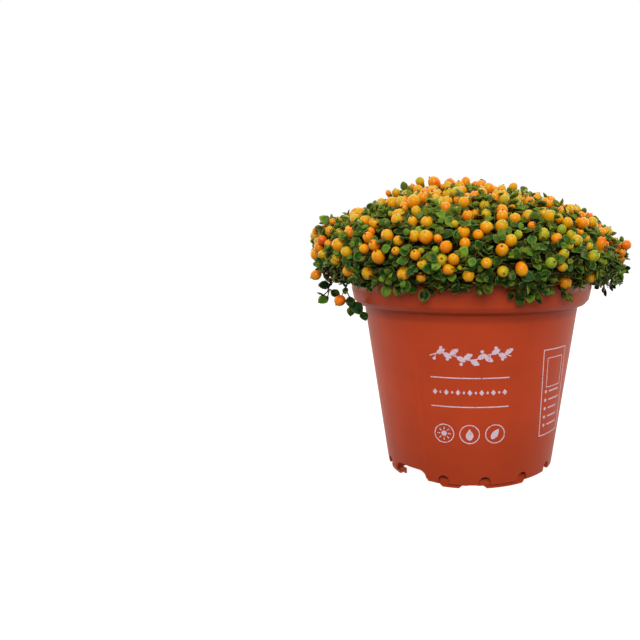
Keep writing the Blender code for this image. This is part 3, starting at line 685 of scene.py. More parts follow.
def berry_skin(plant):
    """The taut skin of a drupe. It gives a wet-looking orange bead with a dark scar where the flower sat."""
    material, tree = new_material(
        "taut berry skin",
        Roughness=0.32,
        Specular_IOR_Level=0.07,
        Coat_Weight=0.2,
        Coat_Roughness=0.14,
        Subsurface_Weight=0.12,
        Subsurface_Scale=1.2 * MM,
        Subsurface_Radius=(1.0, 0.45, 0.1),
    )
    ripe, pole = [add_node(tree, "Attribute", attribute_name=name, out="Fac") for name in ("tone", "pole")]
    speckle = grain(tree, 0.55 * MM, 2.0)
    # Towards the stalk end, which faces down, the berry grows redder and darker: partly its blush, partly
    # painted shade on its underside.
    for signal, weight in ((grain(tree, 4.2 * MM, 1.5), 1.05), (speckle, 0.55), (pole, 0.42)):
        ripe = add_node(tree, "Math", signal, weight, ripe, operation="MULTIPLY_ADD")
    ripe = add_node(tree, "Math", ripe, 0.96, operation="SUBTRACT", use_clamp=True)
    stops = (
        (0.0, tuple(plant.unripe_berry)),
        (0.16, linear("#b09a16")),
        (0.32, linear("#ce960b")),
        (0.56, tuple(plant.ripe_berry)),
        (0.82, linear("#d8690a")),
        (1.0, linear("#c04808")),
    )
    skin = add_node(tree, "ValToRGB", ripe, stops=stops)
    scar = {"From_Min": 0.03, "From_Max": 0.075, "To_Min": 0.8, "To_Max": 0.0}
    dark = add_node(tree, "MapRange", **SMOOTH, **scar, Value=pole)
    skin = add_node(tree, "Mix", data_type="RGBA", Factor=dark, A=skin, B=linear("#4a2008"))
    surface(tree, skin, speckle, 0.05 * MM)
    return material


def stem_bark(name, tint, roughness):
    """The thin skin of creeping stems. It gives a dull brown-green thread, darker with age."""
    material, tree = new_material(name, Roughness=roughness, Specular_IOR_Level=0.15)
    stops = ((0.35, shaded(tint, 0.35)), (0.65, tuple(tint)))
    surface(tree, add_node(tree, "ValToRGB", grain(tree, 3.0 * MM), stops=stops))
    return material


# Pot


def pot_section(rounding):
    """Half section of the pot as a wire with its moulded corners rounded."""
    inner_foot = WALL_FOOT[0] - WALL
    corners = (
        (0.0, FLOOR_TOP),
        (inner_foot, FLOOR_TOP),
        *BAND_INSIDE,
        *BAND_OUTSIDE,
        WALL_TOP,
        WALL_FOOT,
        (inner_foot, WALL_FOOT[1]),
        (inner_foot - (FLOOR_UNDERSIDE - WALL_FOOT[1]), FLOOR_UNDERSIDE),
        (0.0, FLOOR_UNDERSIDE),
    )
    bm = bmesh.new()
    wire = [bm.verts.new((radius, 0.0, height)) for radius, height in corners]
    for start, end in zip(wire, wire[1:]):
        bm.edges.new((start, end))
    bmesh.ops.bevel(
        bm,
        geom=wire[2:-4],
        offset=rounding,
        segments=LIP_SEGMENTS,
        profile=0.5,
        affect="VERTICES",
        material=-1,
    )
    return bm


def spin(bm, geom, angle, steps, **options):
    """Turns the geometry round the pot's axis by this angle in radians."""
    bmesh.ops.spin(
        bm, geom=geom, cent=ORIGIN, axis=UP, angle=angle, steps=steps, use_duplicate=False, **options
    )


def ring_arc(first, last, inset, low, high, draft=0.0):
    """An arc of a ring behind the wall's foot, its ends drawn in low down by the draft in degrees."""
    outer = WALL_FOOT[0] - inset
    inner = WALL_FOOT[0] - FOOT_INSET - FOOT_WIDTH
    bm = bmesh.new()
    corners = ((inner, low), (outer, low), (outer, high), (inner, high))
    section = bm.faces.new([bm.verts.new(polar(first, *corner)) for corner in corners])
    spin(bm, [section], radians(last - first), max(4, round((last - first) / FOOT_STEP)))
    for vert in bm.verts:
        azimuth = math.degrees(math.atan2(vert.co.x, -vert.co.y))
        for end, sense in ((first, 1.0), (last, -1.0)):
            if vert.co.z == low and abs(math.remainder(azimuth - end, 360.0)) < SAME_AZIMUTH:
                vert.co = polar(azimuth + sense * draft, vert.co.to_2d().length, low)
                break
    bmesh.ops.recalc_face_normals(bm, faces=bm.faces)
    return bm


def wedge(azimuth, inner, outer, low, high, half_low, half_high, rounding=0.0):
    """A block that points outwards, between two radii and two heights, with its upper ridges rounded."""
    bm = bmesh.new()
    bmesh.ops.create_cube(bm, size=1.0)
    for vert in bm.verts:
        height, half = (high, half_high) if vert.co.z > 0.0 else (low, half_low)
        vert.co = (outer if vert.co.x > 0.0 else inner, math.copysign(half, vert.co.y), height)
    ridges = [
        edge
        for edge in bm.edges
        if all(vert.co.z > (low + high) / 2.0 for vert in edge.verts)
        and edge.verts[0].co.x != edge.verts[1].co.x
    ]
    if rounding:
        bmesh.ops.bevel(
            bm,
            geom=ridges,
            offset=rounding,
            segments=CHANNEL_SEGMENTS,
            profile=0.5,
            affect="EDGES",
            material=-1,
        )
    turn = Matrix.Rotation(radians(azimuth - 90.0), 3, "Z")
    bmesh.ops.rotate(bm, cent=ORIGIN, matrix=turn, verts=bm.verts)
    return bm


def channel_block(azimuth, margin, bottom, outer):
    """A water channel's form, grown by a margin: it widens downwards and has rounded upper edges."""
    top = CHANNEL_TOP + margin
    low, high = [CHANNEL_WIDTH / 2.0 + (CHANNEL_TOP - z) * CHANNEL_SLOPE + margin for z in (bottom, top)]
    inner = WALL_FOOT[0] - CHANNEL_DEPTH - margin
    return wedge(azimuth, inner, outer, bottom, top, low, high, CHANNEL_ROUNDING + margin)


def arch_blocks(azimuth):
    """A drain hole like a mouse hole, cut through the wall as far as the floor's edge."""
    half = ARCH_WIDTH / 2.0
    spring = ARCH_TOP - half
    reach = (WALL_FOOT[0] - ARCH_DEPTH, WALL_FOOT[0] + CUT_PAST)
    start, end = [polar(azimuth, radius, spring) for radius in reach]
    bm = bmesh.new()
    place = Matrix.Translation((start + end) / 2.0) @ aimed(end - start)
    add_cone(bm, ARCH_SIDES, half, half, (end - start).length, place)
    half *= ARCH_NARROWED
    return [bm, wedge(azimuth, *reach, -CUT_PAST, spring, half, half)]


class BEADPLANT_OT_pot(bpy.types.Operator):
    """Build the moulded pot with its rim band, drain arches, water channels and foot ring"""

    bl_idname = "beadplant.pot"
    bl_label = "Pot"

    def execute(self, context):
        settings = context.scene.bead_pot
        bm = pot_section(settings.lip_rounding)
        spin(bm, bm.verts[:] + bm.edges[:], FULL_TURN, settings.steps, use_merge=True)
        bmesh.ops.remove_doubles(bm, verts=bm.verts, dist=MERGE_WITHIN)
        bmesh.ops.recalc_face_normals(bm, faces=bm.faces)
        pot = link("moulded_pot", bm)
        azimuths = {n: FIRST_PLACE + n * 360.0 / PLACES for n in range(PLACES)}
        channels = [azimuths.pop(n) for n in CHANNEL_PLACES]
        middle = (FLOOR_UNDERSIDE + FLOOR_TOP) / 2.0
        combine(pot, "UNION", [channel_block(a, WALL, middle, WALL_FOOT[0] - WALL / 2.0) for a in channels])
        cuts = [channel_block(a, 0.0, -CUT_PAST, WALL_FOOT[0] + CUT_PAST) for a in channels]
        for azimuth in azimuths.values():
            cuts += arch_blocks(azimuth)
        combine(pot, "DIFFERENCE", cuts)
        spans = [(first + turn, last + turn) for turn in (0.0, 180.0) for first, last in FOOT_SPANS]
        held = (HOLDER_INSET, FOOT_HEIGHT - HOLDER_OVERLAP, HOLDER_TOP)
        holders = [ring_arc(first - HOLDER_REACH, last + HOLDER_REACH, *held) for first, last in spans]
        combine(pot, "UNION", holders, "MANIFOLD")
        feet = [ring_arc(*span, FOOT_INSET, 0.0, FOOT_HEIGHT, FOOT_DRAFT) for span in spans]
        combine(pot, "UNION", feet, "MANIFOLD")
        dress(pot, moulded_polypropylene(settings), "pot_plastic", "pot")
        pot.data.set_sharp_from_angle(angle=SHARP_FROM)
        return {"FINISHED"}


# Print: a flat design in millimetres across and up, wrapped on the wall

INK_SUNK = 0.03 * MM
RULE, THIN_RULE, THICK_RULE = 0.5, 0.4, 0.7
MARKS = (-11.5, 0.0, 11.5)
MARK_HEIGHT = 27.0


def wall_radius(height):
    """The wall's outer radius at a height."""
    (top_radius, top), (foot_radius, foot) = WALL_TOP, WALL_FOOT
    return foot_radius + (top_radius - foot_radius) * (height - foot) / (top - foot)


def ink_disc(bm, across, up, width, height, turn=0.0, point=0.0, sides=14):
    """A filled oval, drawn out to a point at its upper end by the given share."""
    made = bmesh.ops.create_circle(bm, cap_ends=True, segments=sides, radius=0.5)["verts"]
    for vert in made:
        taper = 1.0 - point * max(0.0, vert.co.y) * 2.0
        vert.co = (vert.co.x * width * taper, vert.co.y * height, 0.0)
    place = Matrix.Translation((across, up, 0.0)) @ Matrix.Rotation(radians(turn), 4, "Z")
    bmesh.ops.transform(bm, matrix=place, verts=made)


def ink_ring(bm, across, up, radius, width, sides):
    """A drawn circle of this line width."""
    made = bmesh.ops.create_circle(bm, cap_ends=True, segments=sides, radius=radius)["verts"]
    face = made[0].link_faces[0]
    bmesh.ops.translate(bm, vec=(across, up, 0.0), verts=made)
    bmesh.ops.inset_region(bm, faces=[face], thickness=width, use_boundary=True)
    bmesh.ops.delete(bm, geom=[face], context="FACES_ONLY")


def ink_bar(bm, start, end, width, steps=1):
    """A straight line of ink, in enough steps to bend round the wall."""
    start, end = Vector((*start, 0.0)), Vector((*end, 0.0))
    turn = Matrix.Rotation(math.atan2(end.y - start.y, end.x - start.x), 4, "Z")
    size = Matrix.Diagonal(((end - start).length / 2.0, width / 2.0, 1.0, 1.0))
    place = Matrix.Translation((start + end) / 2.0) @ turn @ size
    bmesh.ops.create_grid(bm, x_segments=steps, y_segments=1, size=1.0, matrix=place)


def ink_frame(bm, left, right, low, high, width, steps_across, steps_up):
    """Four lines round an empty field."""
    for height in (low, high):
        ink_bar(bm, (left, height), (right, height), width, steps_across)
    for across in (left, right):
        ink_bar(bm, (across, low), (across, high), width, steps_up)


def draw_garland(bm):
    """A sprig of leaves and berries along a waving stem."""
    span, height, wave = 36.0, 63.0, 1.5
    stem_width, stalk_width, berry_width = 0.45, 0.32, 1.5
    leaf_reach, leaf_lean, leaf_size, leaf_point = 2.5, 28.0, (2.3, 4.2), 0.35
    berry_back, berry_down = 0.8, 2.3
    count = 24

    def stem(share):
        return (share - 0.5) * span, height + wave * sin(share * 3.0 * pi)

    for n in range(count):
        ink_bar(bm, stem(n / count), stem((n + 1.1) / count), stem_width)
    for n in range(1, count // 2):
        across, up = stem(2.0 * n / count)
        side = 1.0 if n % 2 else -1.0
        lean = side * radians(leaf_lean)
        centre = (across + leaf_reach * cos(lean), up + leaf_reach * sin(lean))
        ink_disc(bm, *centre, *leaf_size, side * leaf_lean - 90.0, leaf_point)
        berry = (across - berry_back, up - side * berry_down)
        ink_bar(bm, (across, up), berry, stalk_width)
        ink_disc(bm, *berry, berry_width, berry_width, sides=12)


def draw_border(bm):
    """A row of diamonds and dots between two rules."""
    half, low, middle, high, pitch = 17.6, 39.85, 46.6, 53.25, 2.6
    for height in (high, low):
        ink_bar(bm, (-half, height), (half, height), RULE, 40)
    for n in range(-6, 7):
        width, sides = (1.0, 12) if n % 2 else (2.2, 4)
        ink_disc(bm, n * pitch, middle, width, width * 1.25, sides=sides)


def draw_care_marks(bm):
    """Three round marks: a sun, a drop and a leaf."""
    radius, line, sides = 4.6, 0.45, 18
    sun, ray_start, ray_end = 2.6, 1.9, 3.1
    drop, drop_point, drop_sunk = (3.6, 5.4), 0.8, 0.2
    leaf, leaf_turn, leaf_point = (3.0, 5.6), -35.0, 0.55
    for across in MARKS:
        ink_ring(bm, across, MARK_HEIGHT, radius, line, 32)
    ink_disc(bm, MARKS[0], MARK_HEIGHT, sun, sun, sides=16)
    centre = Vector((MARKS[0], MARK_HEIGHT))
    for n in range(8):
        ray = Vector((cos(n * pi / 4.0), sin(n * pi / 4.0)))
        ink_bar(bm, centre + ray * ray_start, centre + ray * ray_end, line)
    ink_disc(bm, MARKS[1], MARK_HEIGHT - drop_sunk, *drop, 0.0, drop_point, sides)
    ink_disc(bm, MARKS[2], MARK_HEIGHT, *leaf, leaf_turn, leaf_point, sides)


def draw_panel(bm):
    """A plain label frame on the right, with bars where a table would stand."""
    left, right, low, high, inset = 36.0, 54.0, 22.0, 64.0, 3.0
    first, pitch, dot, indent = 5.0, 4.2, 1.6, 5.5
    ink_frame(bm, left, right, low, high, RULE, 20, 16)
    for n in range(5):
        height = low + first + pitch * n
        ink_disc(bm, left + inset, height, dot, dot, sides=12)
        ink_bar(bm, (left + indent, height), (right - (inset + n % 3), height), THICK_RULE, 12)
    ink_frame(bm, left + inset, right - inset, 46.0, 60.0, THIN_RULE, 14, 6)


def wrap_print(bm, thickness):
    """Gives the flat design its thickness and lays it round the wall."""
    bmesh.ops.scale(bm, vec=(MM, MM, MM), verts=bm.verts)
    grown = bmesh.ops.extrude_face_region(bm, geom=bm.faces[:], use_keep_orig=True)
    upper = [item for item in grown["geom"] if isinstance(item, bmesh.types.BMVert)]
    bmesh.ops.translate(bm, vec=(0.0, 0.0, thickness + INK_SUNK), verts=upper)
    bmesh.ops.recalc_face_normals(bm, faces=bm.faces)
    for vert in bm.verts:
        across, height, off = vert.co
        radius = wall_radius(height)
        vert.co = around(across / radius, radius + off - INK_SUNK, height)


class BEADPLANT_OT_print(bpy.types.Operator):
    """Print the wall with a plain leaf garland, a border, care marks and an empty label frame"""

    bl_idname = "beadplant.print"
    bl_label = "Print"

    def execute(self, context):
        settings = context.scene.bead_pot
        bm = bmesh.new()
        for draw in (draw_garland, draw_border, draw_care_marks, draw_panel):
            draw(bm)
        wrap_print(bm, settings.ink_thickness)
        piece = dress(link("wall_print", bm), screen_ink(settings), "pot_plastic")
        piece.data.shade_flat()
        return {"FINISHED"}


class BEADPLANT_OT_soil(bpy.types.Operator):
    """Give the root ball its peat"""

    bl_idname = "beadplant.soil"
    bl_label = "Soil"

    def execute(self, context):
        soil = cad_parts["soil"]
        soil.material_slots[0].material = moist_peat(context.scene.bead_pot)
        return {"FINISHED"}


# Mat


def mat_point(share, turn):
    """A point of the mat: the share is 1 at its top, 0 where it is widest and -1 where it has rolled in."""
    angle = abs(share) * pi / 2.0
    swell = MAT_LUMPS * sum(size * sin(times * turn + phase) for size, times, phase in SWELLS)
    if share < 0.0:
        radius = MAT_RADIUS + swell - ROLL_IN * (1.0 - cos(angle))
        height = MAT_WIDEST - ROLL_DOWN * sin(angle)
    else:
        lift = sin(angle)
        between = 4.0 * lift * (1.0 - lift)
        reach = (1.0 - lift * lift) ** (1.0 / MAT_SHOULDER)
        radius = (MAT_RADIUS + swell * (1.0 - lift)) * reach - MAT_LEAN * between * sin(turn)
        height = MAT_WIDEST + (MAT_TOP - MAT_WIDEST) * lift - SHOULDER_SINK * between - TOP_SINK * lift
    aside = math.remainder(turn - TUFT_TURN, FULL_TURN) / TUFT_SPREAD
    tuft = TUFT_REACH * math.exp(-aside * aside - ((share - TUFT_SHARE) / TUFT_DEPTH) ** 2)
    place = around(turn, radius + tuft, height + tuft)
    offset = (place.to_2d() - CREST).length / CREST_WIDTH
    place.z += CREST_RISE * math.exp(-offset * offset)
    return place


def mat_spot(share, turn):
    """A spot of the mat with its outward direction."""
    along = mat_point(min(share + MAT_STEP, 1.0), turn) - mat_point(share - MAT_STEP, turn)
    sideways = Vector((cos(turn), sin(turn), 0.0))
    return Spot(mat_point(share, turn), sideways.cross(along).normalized(), share, turn)


def even_spots(chance, count, spacing, lowest):
    """Spots drawn evenly over the mat's surface that keep their distance from each other."""
    shares = [lowest + (TOPMOST - lowest) * n / MAT_BANDS for n in range(MAT_BANDS + 1)]
    areas = [0.0]
    for low, high in zip(shares, shares[1:]):
        first, second = mat_point(low, 0.0), mat_point(high, 0.0)
        areas.append(areas[-1] + (second - first).length * (abs(first.y) + abs(second.y)))
    cells = {}
    spots = []
    for _ in range(count):
        index = bisect(areas, chance.uniform(0.0, areas[-1])) - 1
        share = shares[min(index, MAT_BANDS - 1)] + chance.random() * (shares[1] - shares[0])
        spot = mat_spot(share, chance.uniform(0.0, FULL_TURN))
        cell = tuple(math.floor(c / spacing) for c in spot.place)
        near = [cells.get(key, ()) for key in product(*[(c - 1, c, c + 1) for c in cell])]
        if all((other - spot.place).length >= spacing for group in near for other in group):
            cells.setdefault(cell, []).append(spot.place)
            spots.append(spot)
    return spots


def inside_pot(place):
    """Whether a point lies in the pot's rim or under it."""
    return place.z < POT_HEIGHT + RIM_CLEARANCE and place.to_2d().length < RIM_RADIUS + RIM_CLEARANCE


# Sight: what is seen where in the photograph's frame


class Sight:
    """The camera's place, its turn and its focal length in pixels."""

    def __init__(self, stage):
        aside = (AXIS_ACROSS - FRAME / 2.0 + SHIFT * FRAME) * SENSOR / (FRAME * stage.lens)
        self.eye = Vector((0.0, -stage.camera_back, stage.camera_height))
        self.turn = Euler((pi / 2.0 - stage.pitch, 0.0, math.atan(aside))).to_matrix()
        self.focal = stage.lens / SENSOR * FRAME

    def see(self, place):
        """(pixel, depth) of a place: where it is seen, and how far off."""
        local = self.turn.transposed() @ (place - self.eye)
        scale = self.focal / -local.z
        across = FRAME / 2.0 - SHIFT * FRAME + scale * local.x
        return Vector((across, FRAME / 2.0 - scale * local.y, 0.0)), -local.z

    def put(self, place, across, down):
        """The place moved across the line of sight until it is seen at this pixel."""
        pixel, depth = self.see(place)
        return place + self.turn @ (Vector((across - pixel.x, pixel.y - down, 0.0)) * depth / self.focal)

    def size(self, place, pixels):
        """How large a thing is at this place that looks so many pixels wide."""
        return pixels * self.see(place)[1] / self.focal

    def nearest(self, places):
        """A function that gives the index of the place seen nearest to a pixel."""
        tree = tree_of([self.see(place)[0] for place in places])
        return lambda across, down: tree.find((across, down, 0.0))[1]

    def facing_spots(self):
        """A function that finds, by its pixel, a spot on the side of the mat that faces the camera."""
        shares = [FACING_FROM + FACING_REACH * row / FACING_ROWS for row in range(FACING_ROWS)]
        turns = [pi * (column / FACING_COLUMNS * 2.0 - 1.0) for column in range(FACING_COLUMNS)]
        spots = [mat_spot(share, turn) for share in shares for turn in turns]
        spots = [spot for spot in spots if spot.normal.dot(self.eye - spot.place) > 0.0]
        index = self.nearest([spot.place for spot in spots])
        return lambda across, down: spots[index(across, down)]

    def in_patch(self, place, patches):
        """Whether a place is seen in one of these patches."""
        pixel, _ = self.see(place)
        return any((pixel - Vector((across, down, 0.0))).length < half for across, down, half in patches)

    def clear_of_pot(self, place):
        """The place, brought towards the camera until it is clear of the pot."""
        step = (self.eye - place).normalized() * SEEN_STEP
        while inside_pot(place - step * 2.0) or inside_pot(place):
            place = place + step
        return place

    def blade(self, plant, centre, along, width, chance, least=0.0):
        """Places a blade that looks this wide in pixels, turned edge-on where that is too slim."""
        wide = max(width, least)
        size = self.size(centre, wide) / plant.leaf_width
        towards = (self.eye - centre).normalized() + UP * BLADE_UPTURN
        face = jittered(towards.normalized(), BLADE_LEAN, chance)
        aside = jittered(along, BLADE_SWING, chance)
        tip = (aside - face * aside.dot(face)).normalized()
        face.rotate(Quaternion(tip, chance.choice((-1.0, 1.0)) * math.acos(width / wide)))
        return blade_matrix(centre - tip * plant.leaf_length * size / 2.0, tip, face, size)


# Plant


def leaf_shape(plant, cup):
    """A round fleshy blade: root at the origin, tip on +Y, upper face to +Z, its rim turned up by the cup."""
    bm = bmesh.new()
    bmesh.ops.create_circle(bm, cap_ends=True, segments=LEAF_SIDES, radius=1.0)
    blade = bm.faces[:]
    bmesh.ops.inset_region(bm, faces=blade, thickness=LEAF_INSET, use_boundary=True)
    bmesh.ops.poke(bm, faces=blade)
    for vert in bm.verts:
        vert.co.z = 0.0
    copied = bmesh.ops.duplicate(bm, geom=bm.faces[:])["geom"]
    under = [item for item in copied if isinstance(item, bmesh.types.BMFace)]
    bmesh.ops.reverse_faces(bm, faces=under)
    below = {vert for face in under for vert in face.verts}
    rim = {vert: vert.co.length for vert in bm.verts}
    for vert, flat in rim.items():
        x, y, _ = vert.co
        side = -0.5 if vert in below else 0.5
        stalk = LEAF_STALK * max(0.0, -y - LEAF_END)
        tip = LEAF_POINT * max(0.0, y - LEAF_END)
        height = cup * (flat * flat - CUP_FROM) + LEAF_FOLD * (abs(x) - FOLD_FROM)
        height = height - LEAF_DROOP * y * y * y - stalk * STALK_SINK
        vert.co = (
            x * (1.0 - LEAF_TAPER * y) * plant.leaf_width / 2.0,
            (0.5 + 0.5 * y - stalk + tip) * plant.leaf_length,
            height * plant.leaf_length + side * plant.leaf_thickness * (1.0 - flat * flat),
        )
    distance = {tuple(vert.co): flat for vert, flat in rim.items()}
    bmesh.ops.remove_doubles(bm, verts=bm.verts, dist=LEAF_MERGE)
    return shape_with(bm, "leaf", rim=lambda co: distance.get(tuple(co), 1.0))


def stem_shape(sides):
    """A unit stem: from the origin to +Z, one metre in radius at its root, a little less at its tip."""
    bm = bmesh.new()
    add_cone(bm, sides, 1.0, STEM_TAPER, 1.0, Matrix.Translation((0.0, 0.0, 0.5)))
    return shape_with(bm, "stem")


def berry_shape(remnant, seed=0):
    """A unit berry, a little lobed, with its flower scar at +Z, and on some the withered flower's stub."""
    bm = bmesh.new()
    bmesh.ops.create_uvsphere(bm, u_segments=12, v_segments=8, radius=1.0)
    for vert in bm.verts:
        x, y, z = vert.co
        lobes = BERRY_LOBES * noise.noise(vert.co * LOBE_SCALE + Vector((seed, 0.0, 0.0)))
        drawn = 1.0 - BERRY_TAPER * max(0.0, -z) + lobes
        vert.co = (x * drawn, y * drawn, z * BERRY_STRETCH - DIMPLE_DEPTH * max(0.0, z - DIMPLE_FROM))
    if remnant:
        add_cone(bm, 5, STUB_FOOT, STUB_TOP, STUB_HEIGHT, Matrix.Translation((0.0, 0.0, STUB_PLACE)))

    def pole(co):
        """How far a point is from the flower scar, from 0 to 1."""
        if co.z > STUB_FROM and co.to_2d().length < STUB_REACH:
            return 0.0
        return math.acos(max(-1.0, min(1.0, co.normalized().z))) / pi + (0.0 if remnant else SCAR_PLACE)

    return shape_with(bm, "berry", pole=pole)


def blade_matrix(root, along, up, size):
    """Places a blade: its root here, its tip along this direction, its face turned towards up."""
    y = along.normalized()
    x = y.cross(up).normalized()
    turn = Matrix((x, y, x.cross(y))).transposed().to_4x4()
    return Matrix.Translation(root) @ turn @ Matrix.Scale(size, 4)


def stem_matrix(start, end, radius):
    """Places a unit stem between two points."""
    size = Matrix.Diagonal((radius, radius, (end - start).length, 1.0))
    return Matrix.Translation(start) @ aimed(end - start) @ size


def jittered(direction, spread, chance):
    """The direction, leaning by a random angle of about this many degrees."""
    side = direction.orthogonal().normalized()
    side.rotate(Quaternion(direction, chance.uniform(0.0, FULL_TURN)))
    return Quaternion(side, radians(chance.gauss(0.0, spread))) @ direction


def risen(spot, span, chance):
    """A random place over or under a spot."""
    return spot.place + spot.normal * chance.uniform(*span)


def shoot_leaves(tip, axis, size, tone, chance, pairs=LEAF_PAIRS):
    """(matrix, tone) of each leaf of a shoot, in pairs set crosswise along its axis."""
    side = axis.orthogonal().normalized()
    side.rotate(Quaternion(axis, chance.uniform(0.0, FULL_TURN)))
    leaves = []
    for back, scale, slant, shade in pairs:
        side.rotate(Quaternion(axis, radians(90.0 + chance.gauss(0.0, LEAF_TWIST))))
        node = tip - axis * back * size
        for sense in (1.0, -1.0):
            out = side * sense
            out.rotate(Quaternion(axis, radians(chance.gauss(0.0, LEAF_SWING))))
            lift = radians(slant + chance.gauss(0.0, LEAF_SLANT))
            along = out * cos(lift) + axis * sin(lift)
            face = axis * cos(lift) - out * sin(lift)
            face.rotate(Quaternion(along, radians(chance.gauss(0.0, LEAF_ROLL))))
            grown = scale * size * chance.uniform(*LEAF_SIZES)
            shade_here = shade + tone + chance.gauss(0.0, LEAF_VARIATION)
            leaves.append((blade_matrix(node, along, face, grown), shade_here))
    return leaves


def upturned(spot, upturn, lean, chance):
    """A direction out of the mat, turned up by a share and leaning by about this many degrees."""
    return jittered((spot.normal + UP * upturn).normalized(), lean, chance)


def fits(centre, radius, berries):
    """Whether a berry here keeps clear of the others."""
    return all((centre - other.centre).length >= BERRY_GAP * (radius + other.radius) for other in berries)


def seen_berries(sight, chance):
    """The berries that the photograph shows plainly, the widest in front, with crossing ones moved back."""
    facing = sight.facing_spots()
    rows = [(*row, tone) for tone, group in SEEN_BERRIES.items() for row in group]
    berries = []
    for across, down, width, tone in sorted(rows, key=lambda row: -row[2]):
        spot = facing(across, down)
        centre = sight.put(spot.place + spot.normal * SEEN_RISE, across, down)
        radius = sight.size(centre, SEEN_GROWTH * width / 2.0)
        back = (centre - sight.eye).normalized() * SEEN_STEP
        for _ in range(SEEN_TRIES):
            if fits(centre, radius, berries):
                break
            centre += back
        axis = upturned(spot, BERRY_UPTURN, BERRY_LEAN, chance)
        tone += chance.uniform(-SEEN_VARIATION, SEEN_VARIATION)
        berries.append(Berry(centre, axis, radius, tone, spot))
    return berries


def all_berries(plant, sight):
    """The berries that are plainly seen, then clusters all over the mat."""
    chance = random.Random(plant.seed)
    berries = seen_berries(sight, chance)
    for spot in even_spots(chance, BERRY_DRAWS, BERRY_SPACING, BERRIES_FROM):
        band = bisect(BERRY_BANDS, spot.share)
        if len(berries) == plant.crown_berries:
            break
        share = BERRY_SHARES[band] * (noise.noise(spot.place / CLUSTER_SIZE) + 1.0)
        if spot.normal.dot((sight.eye - spot.place).normalized()) > FRONT_FROM:
            share *= FRONT_SHARES[band]
            if sight.in_patch(spot.place, BARE_PATCHES):
                continue
        if chance.random() > share:
            continue
        young = chance.random() < YOUNG_SHARE
        radius = plant.berry_radius * chance.uniform(*(YOUNG_SIZES if young else GROWN_SIZES))
        centre = risen(spot, BERRY_RISE, chance)
        if fits(centre, radius, berries):
            axis = upturned(spot, BERRY_UPTURN, BERRY_LEAN, chance)
            tone = chance.uniform(*YOUNG_TONES) if young else berry_tone(chance)
            berries.append(Berry(centre, axis, radius, tone, spot))
    return berries


def berry_tone(chance):
    """How ripe a berry is: most are orange, some yellow, a few still green or already red."""
    draw = chance.random()
    return chance.uniform(*next(tones for limit, *tones in BERRY_TONES if draw < limit))


class BerryFinder:
    """Finds berries near a place, and plainly seen ones behind it."""

    def __init__(self, sight, berries):
        self.sight = sight
        self.berries = berries
        self.tree = tree_of([berry.centre for berry in berries])
        count = sum(map(len, SEEN_BERRIES.values()))
        self.plain = [(*sight.see(berry.centre), berry.radius) for berry in berries[:count]]
        self.pixels = tree_of([pixel for pixel, _, _ in self.plain])

    def touched(self, places, margin):
        """Whether one of the places lies in a berry or this close to its skin."""
        return any(
            distance < self.berries[index].radius + margin
            for place in places
            for _, index, distance in self.tree.find_range(place, BERRY_REACH)
        )

    def hidden(self, place):
        """Whether the place hides a berry that the photograph shows plainly."""
        pixel, depth = self.sight.see(place)
        for _, index, gap in self.pixels.find_range(pixel, HIDING_REACH):
            _, far, radius = self.plain[index]
            if depth < far and gap < HIDING_SHARE * radius * self.sight.focal / far:
                return True
        return False


class BEADPLANT_OT_tangle(bpy.types.Operator):
    """Build the dark tangle of old stems under the leaves, its colour partly painted shade for the gaps"""

    bl_idname = "beadplant.tangle"
    bl_label = "Tangle"

    def execute(self, context):
        plant = context.scene.bead_plant
        chance = random.Random(plant.seed + 1)
        bm = bmesh.new()
        rings = TANGLE_RINGS + len(PLUG)
        bmesh.ops.create_uvsphere(bm, u_segments=TANGLE_ROUND, v_segments=rings, radius=1.0)
        for vert in bm.verts:
            ring = round(math.acos(max(-1.0, min(1.0, vert.co.z))) / pi * rings)
            turn = math.atan2(vert.co.x, -vert.co.y)
            if ring > TANGLE_RINGS:
                vert.co = around(turn, *PLUG[ring - TANGLE_RINGS - 1])
                continue
            spot = mat_spot(1.0 - 2.0 * ring / TANGLE_RINGS, turn)
            rough = noise.noise(spot.place / TANGLE_LUMP) * TANGLE_ROUGHNESS
            vert.co = spot.place + (spot.normal if ring else UP) * (rough - TANGLE_INSET)
        bmesh.ops.recalc_face_normals(bm, faces=bm.faces)
        # Near black: partly the old stems' own colour, partly painted shade in the gaps between the leaves.
        old = stem_bark("old matted stems", linear("#1a1804"), 0.9)
        dress(link("stem_tangle", bm), old, "foliage", "leaf_mat")
        runners = bmesh.new()
        shape = stem_shape(5)
        share_step, turn_step = RUNNER_STEP
        for _ in range(RUNNERS):
            share, turn = chance.uniform(*RUNNER_SHARES), chance.uniform(0.0, FULL_TURN)
            heading = chance.uniform(0.0, FULL_TURN)
            lift = chance.uniform(-RUNNER_LIFT, RUNNER_LIFT)
            points = []
            for _ in range(RUNNER_POINTS):
                heading += chance.gauss(0.0, RUNNER_BEND)
                share = min(max(share + share_step * sin(heading), -RUNNER_LIMIT), RUNNER_LIMIT)
                turn += turn_step * cos(heading)
                spot = mat_spot(share, turn)
                wobble = chance.uniform(-RUNNER_WOBBLE, RUNNER_WOBBLE)
                points.append(spot.place + spot.normal * (lift + wobble))
            for start, end in zip(points, points[1:]):
                add_copy(runners, shape, stem_matrix(start, end, plant.stem_radius))
        thin = stem_bark("thin creeping stems", plant.stem_colour, 0.6)
        dress(link("creeping_stems", runners), thin, "foliage", "leaf_mat")
        return {"FINISHED"}


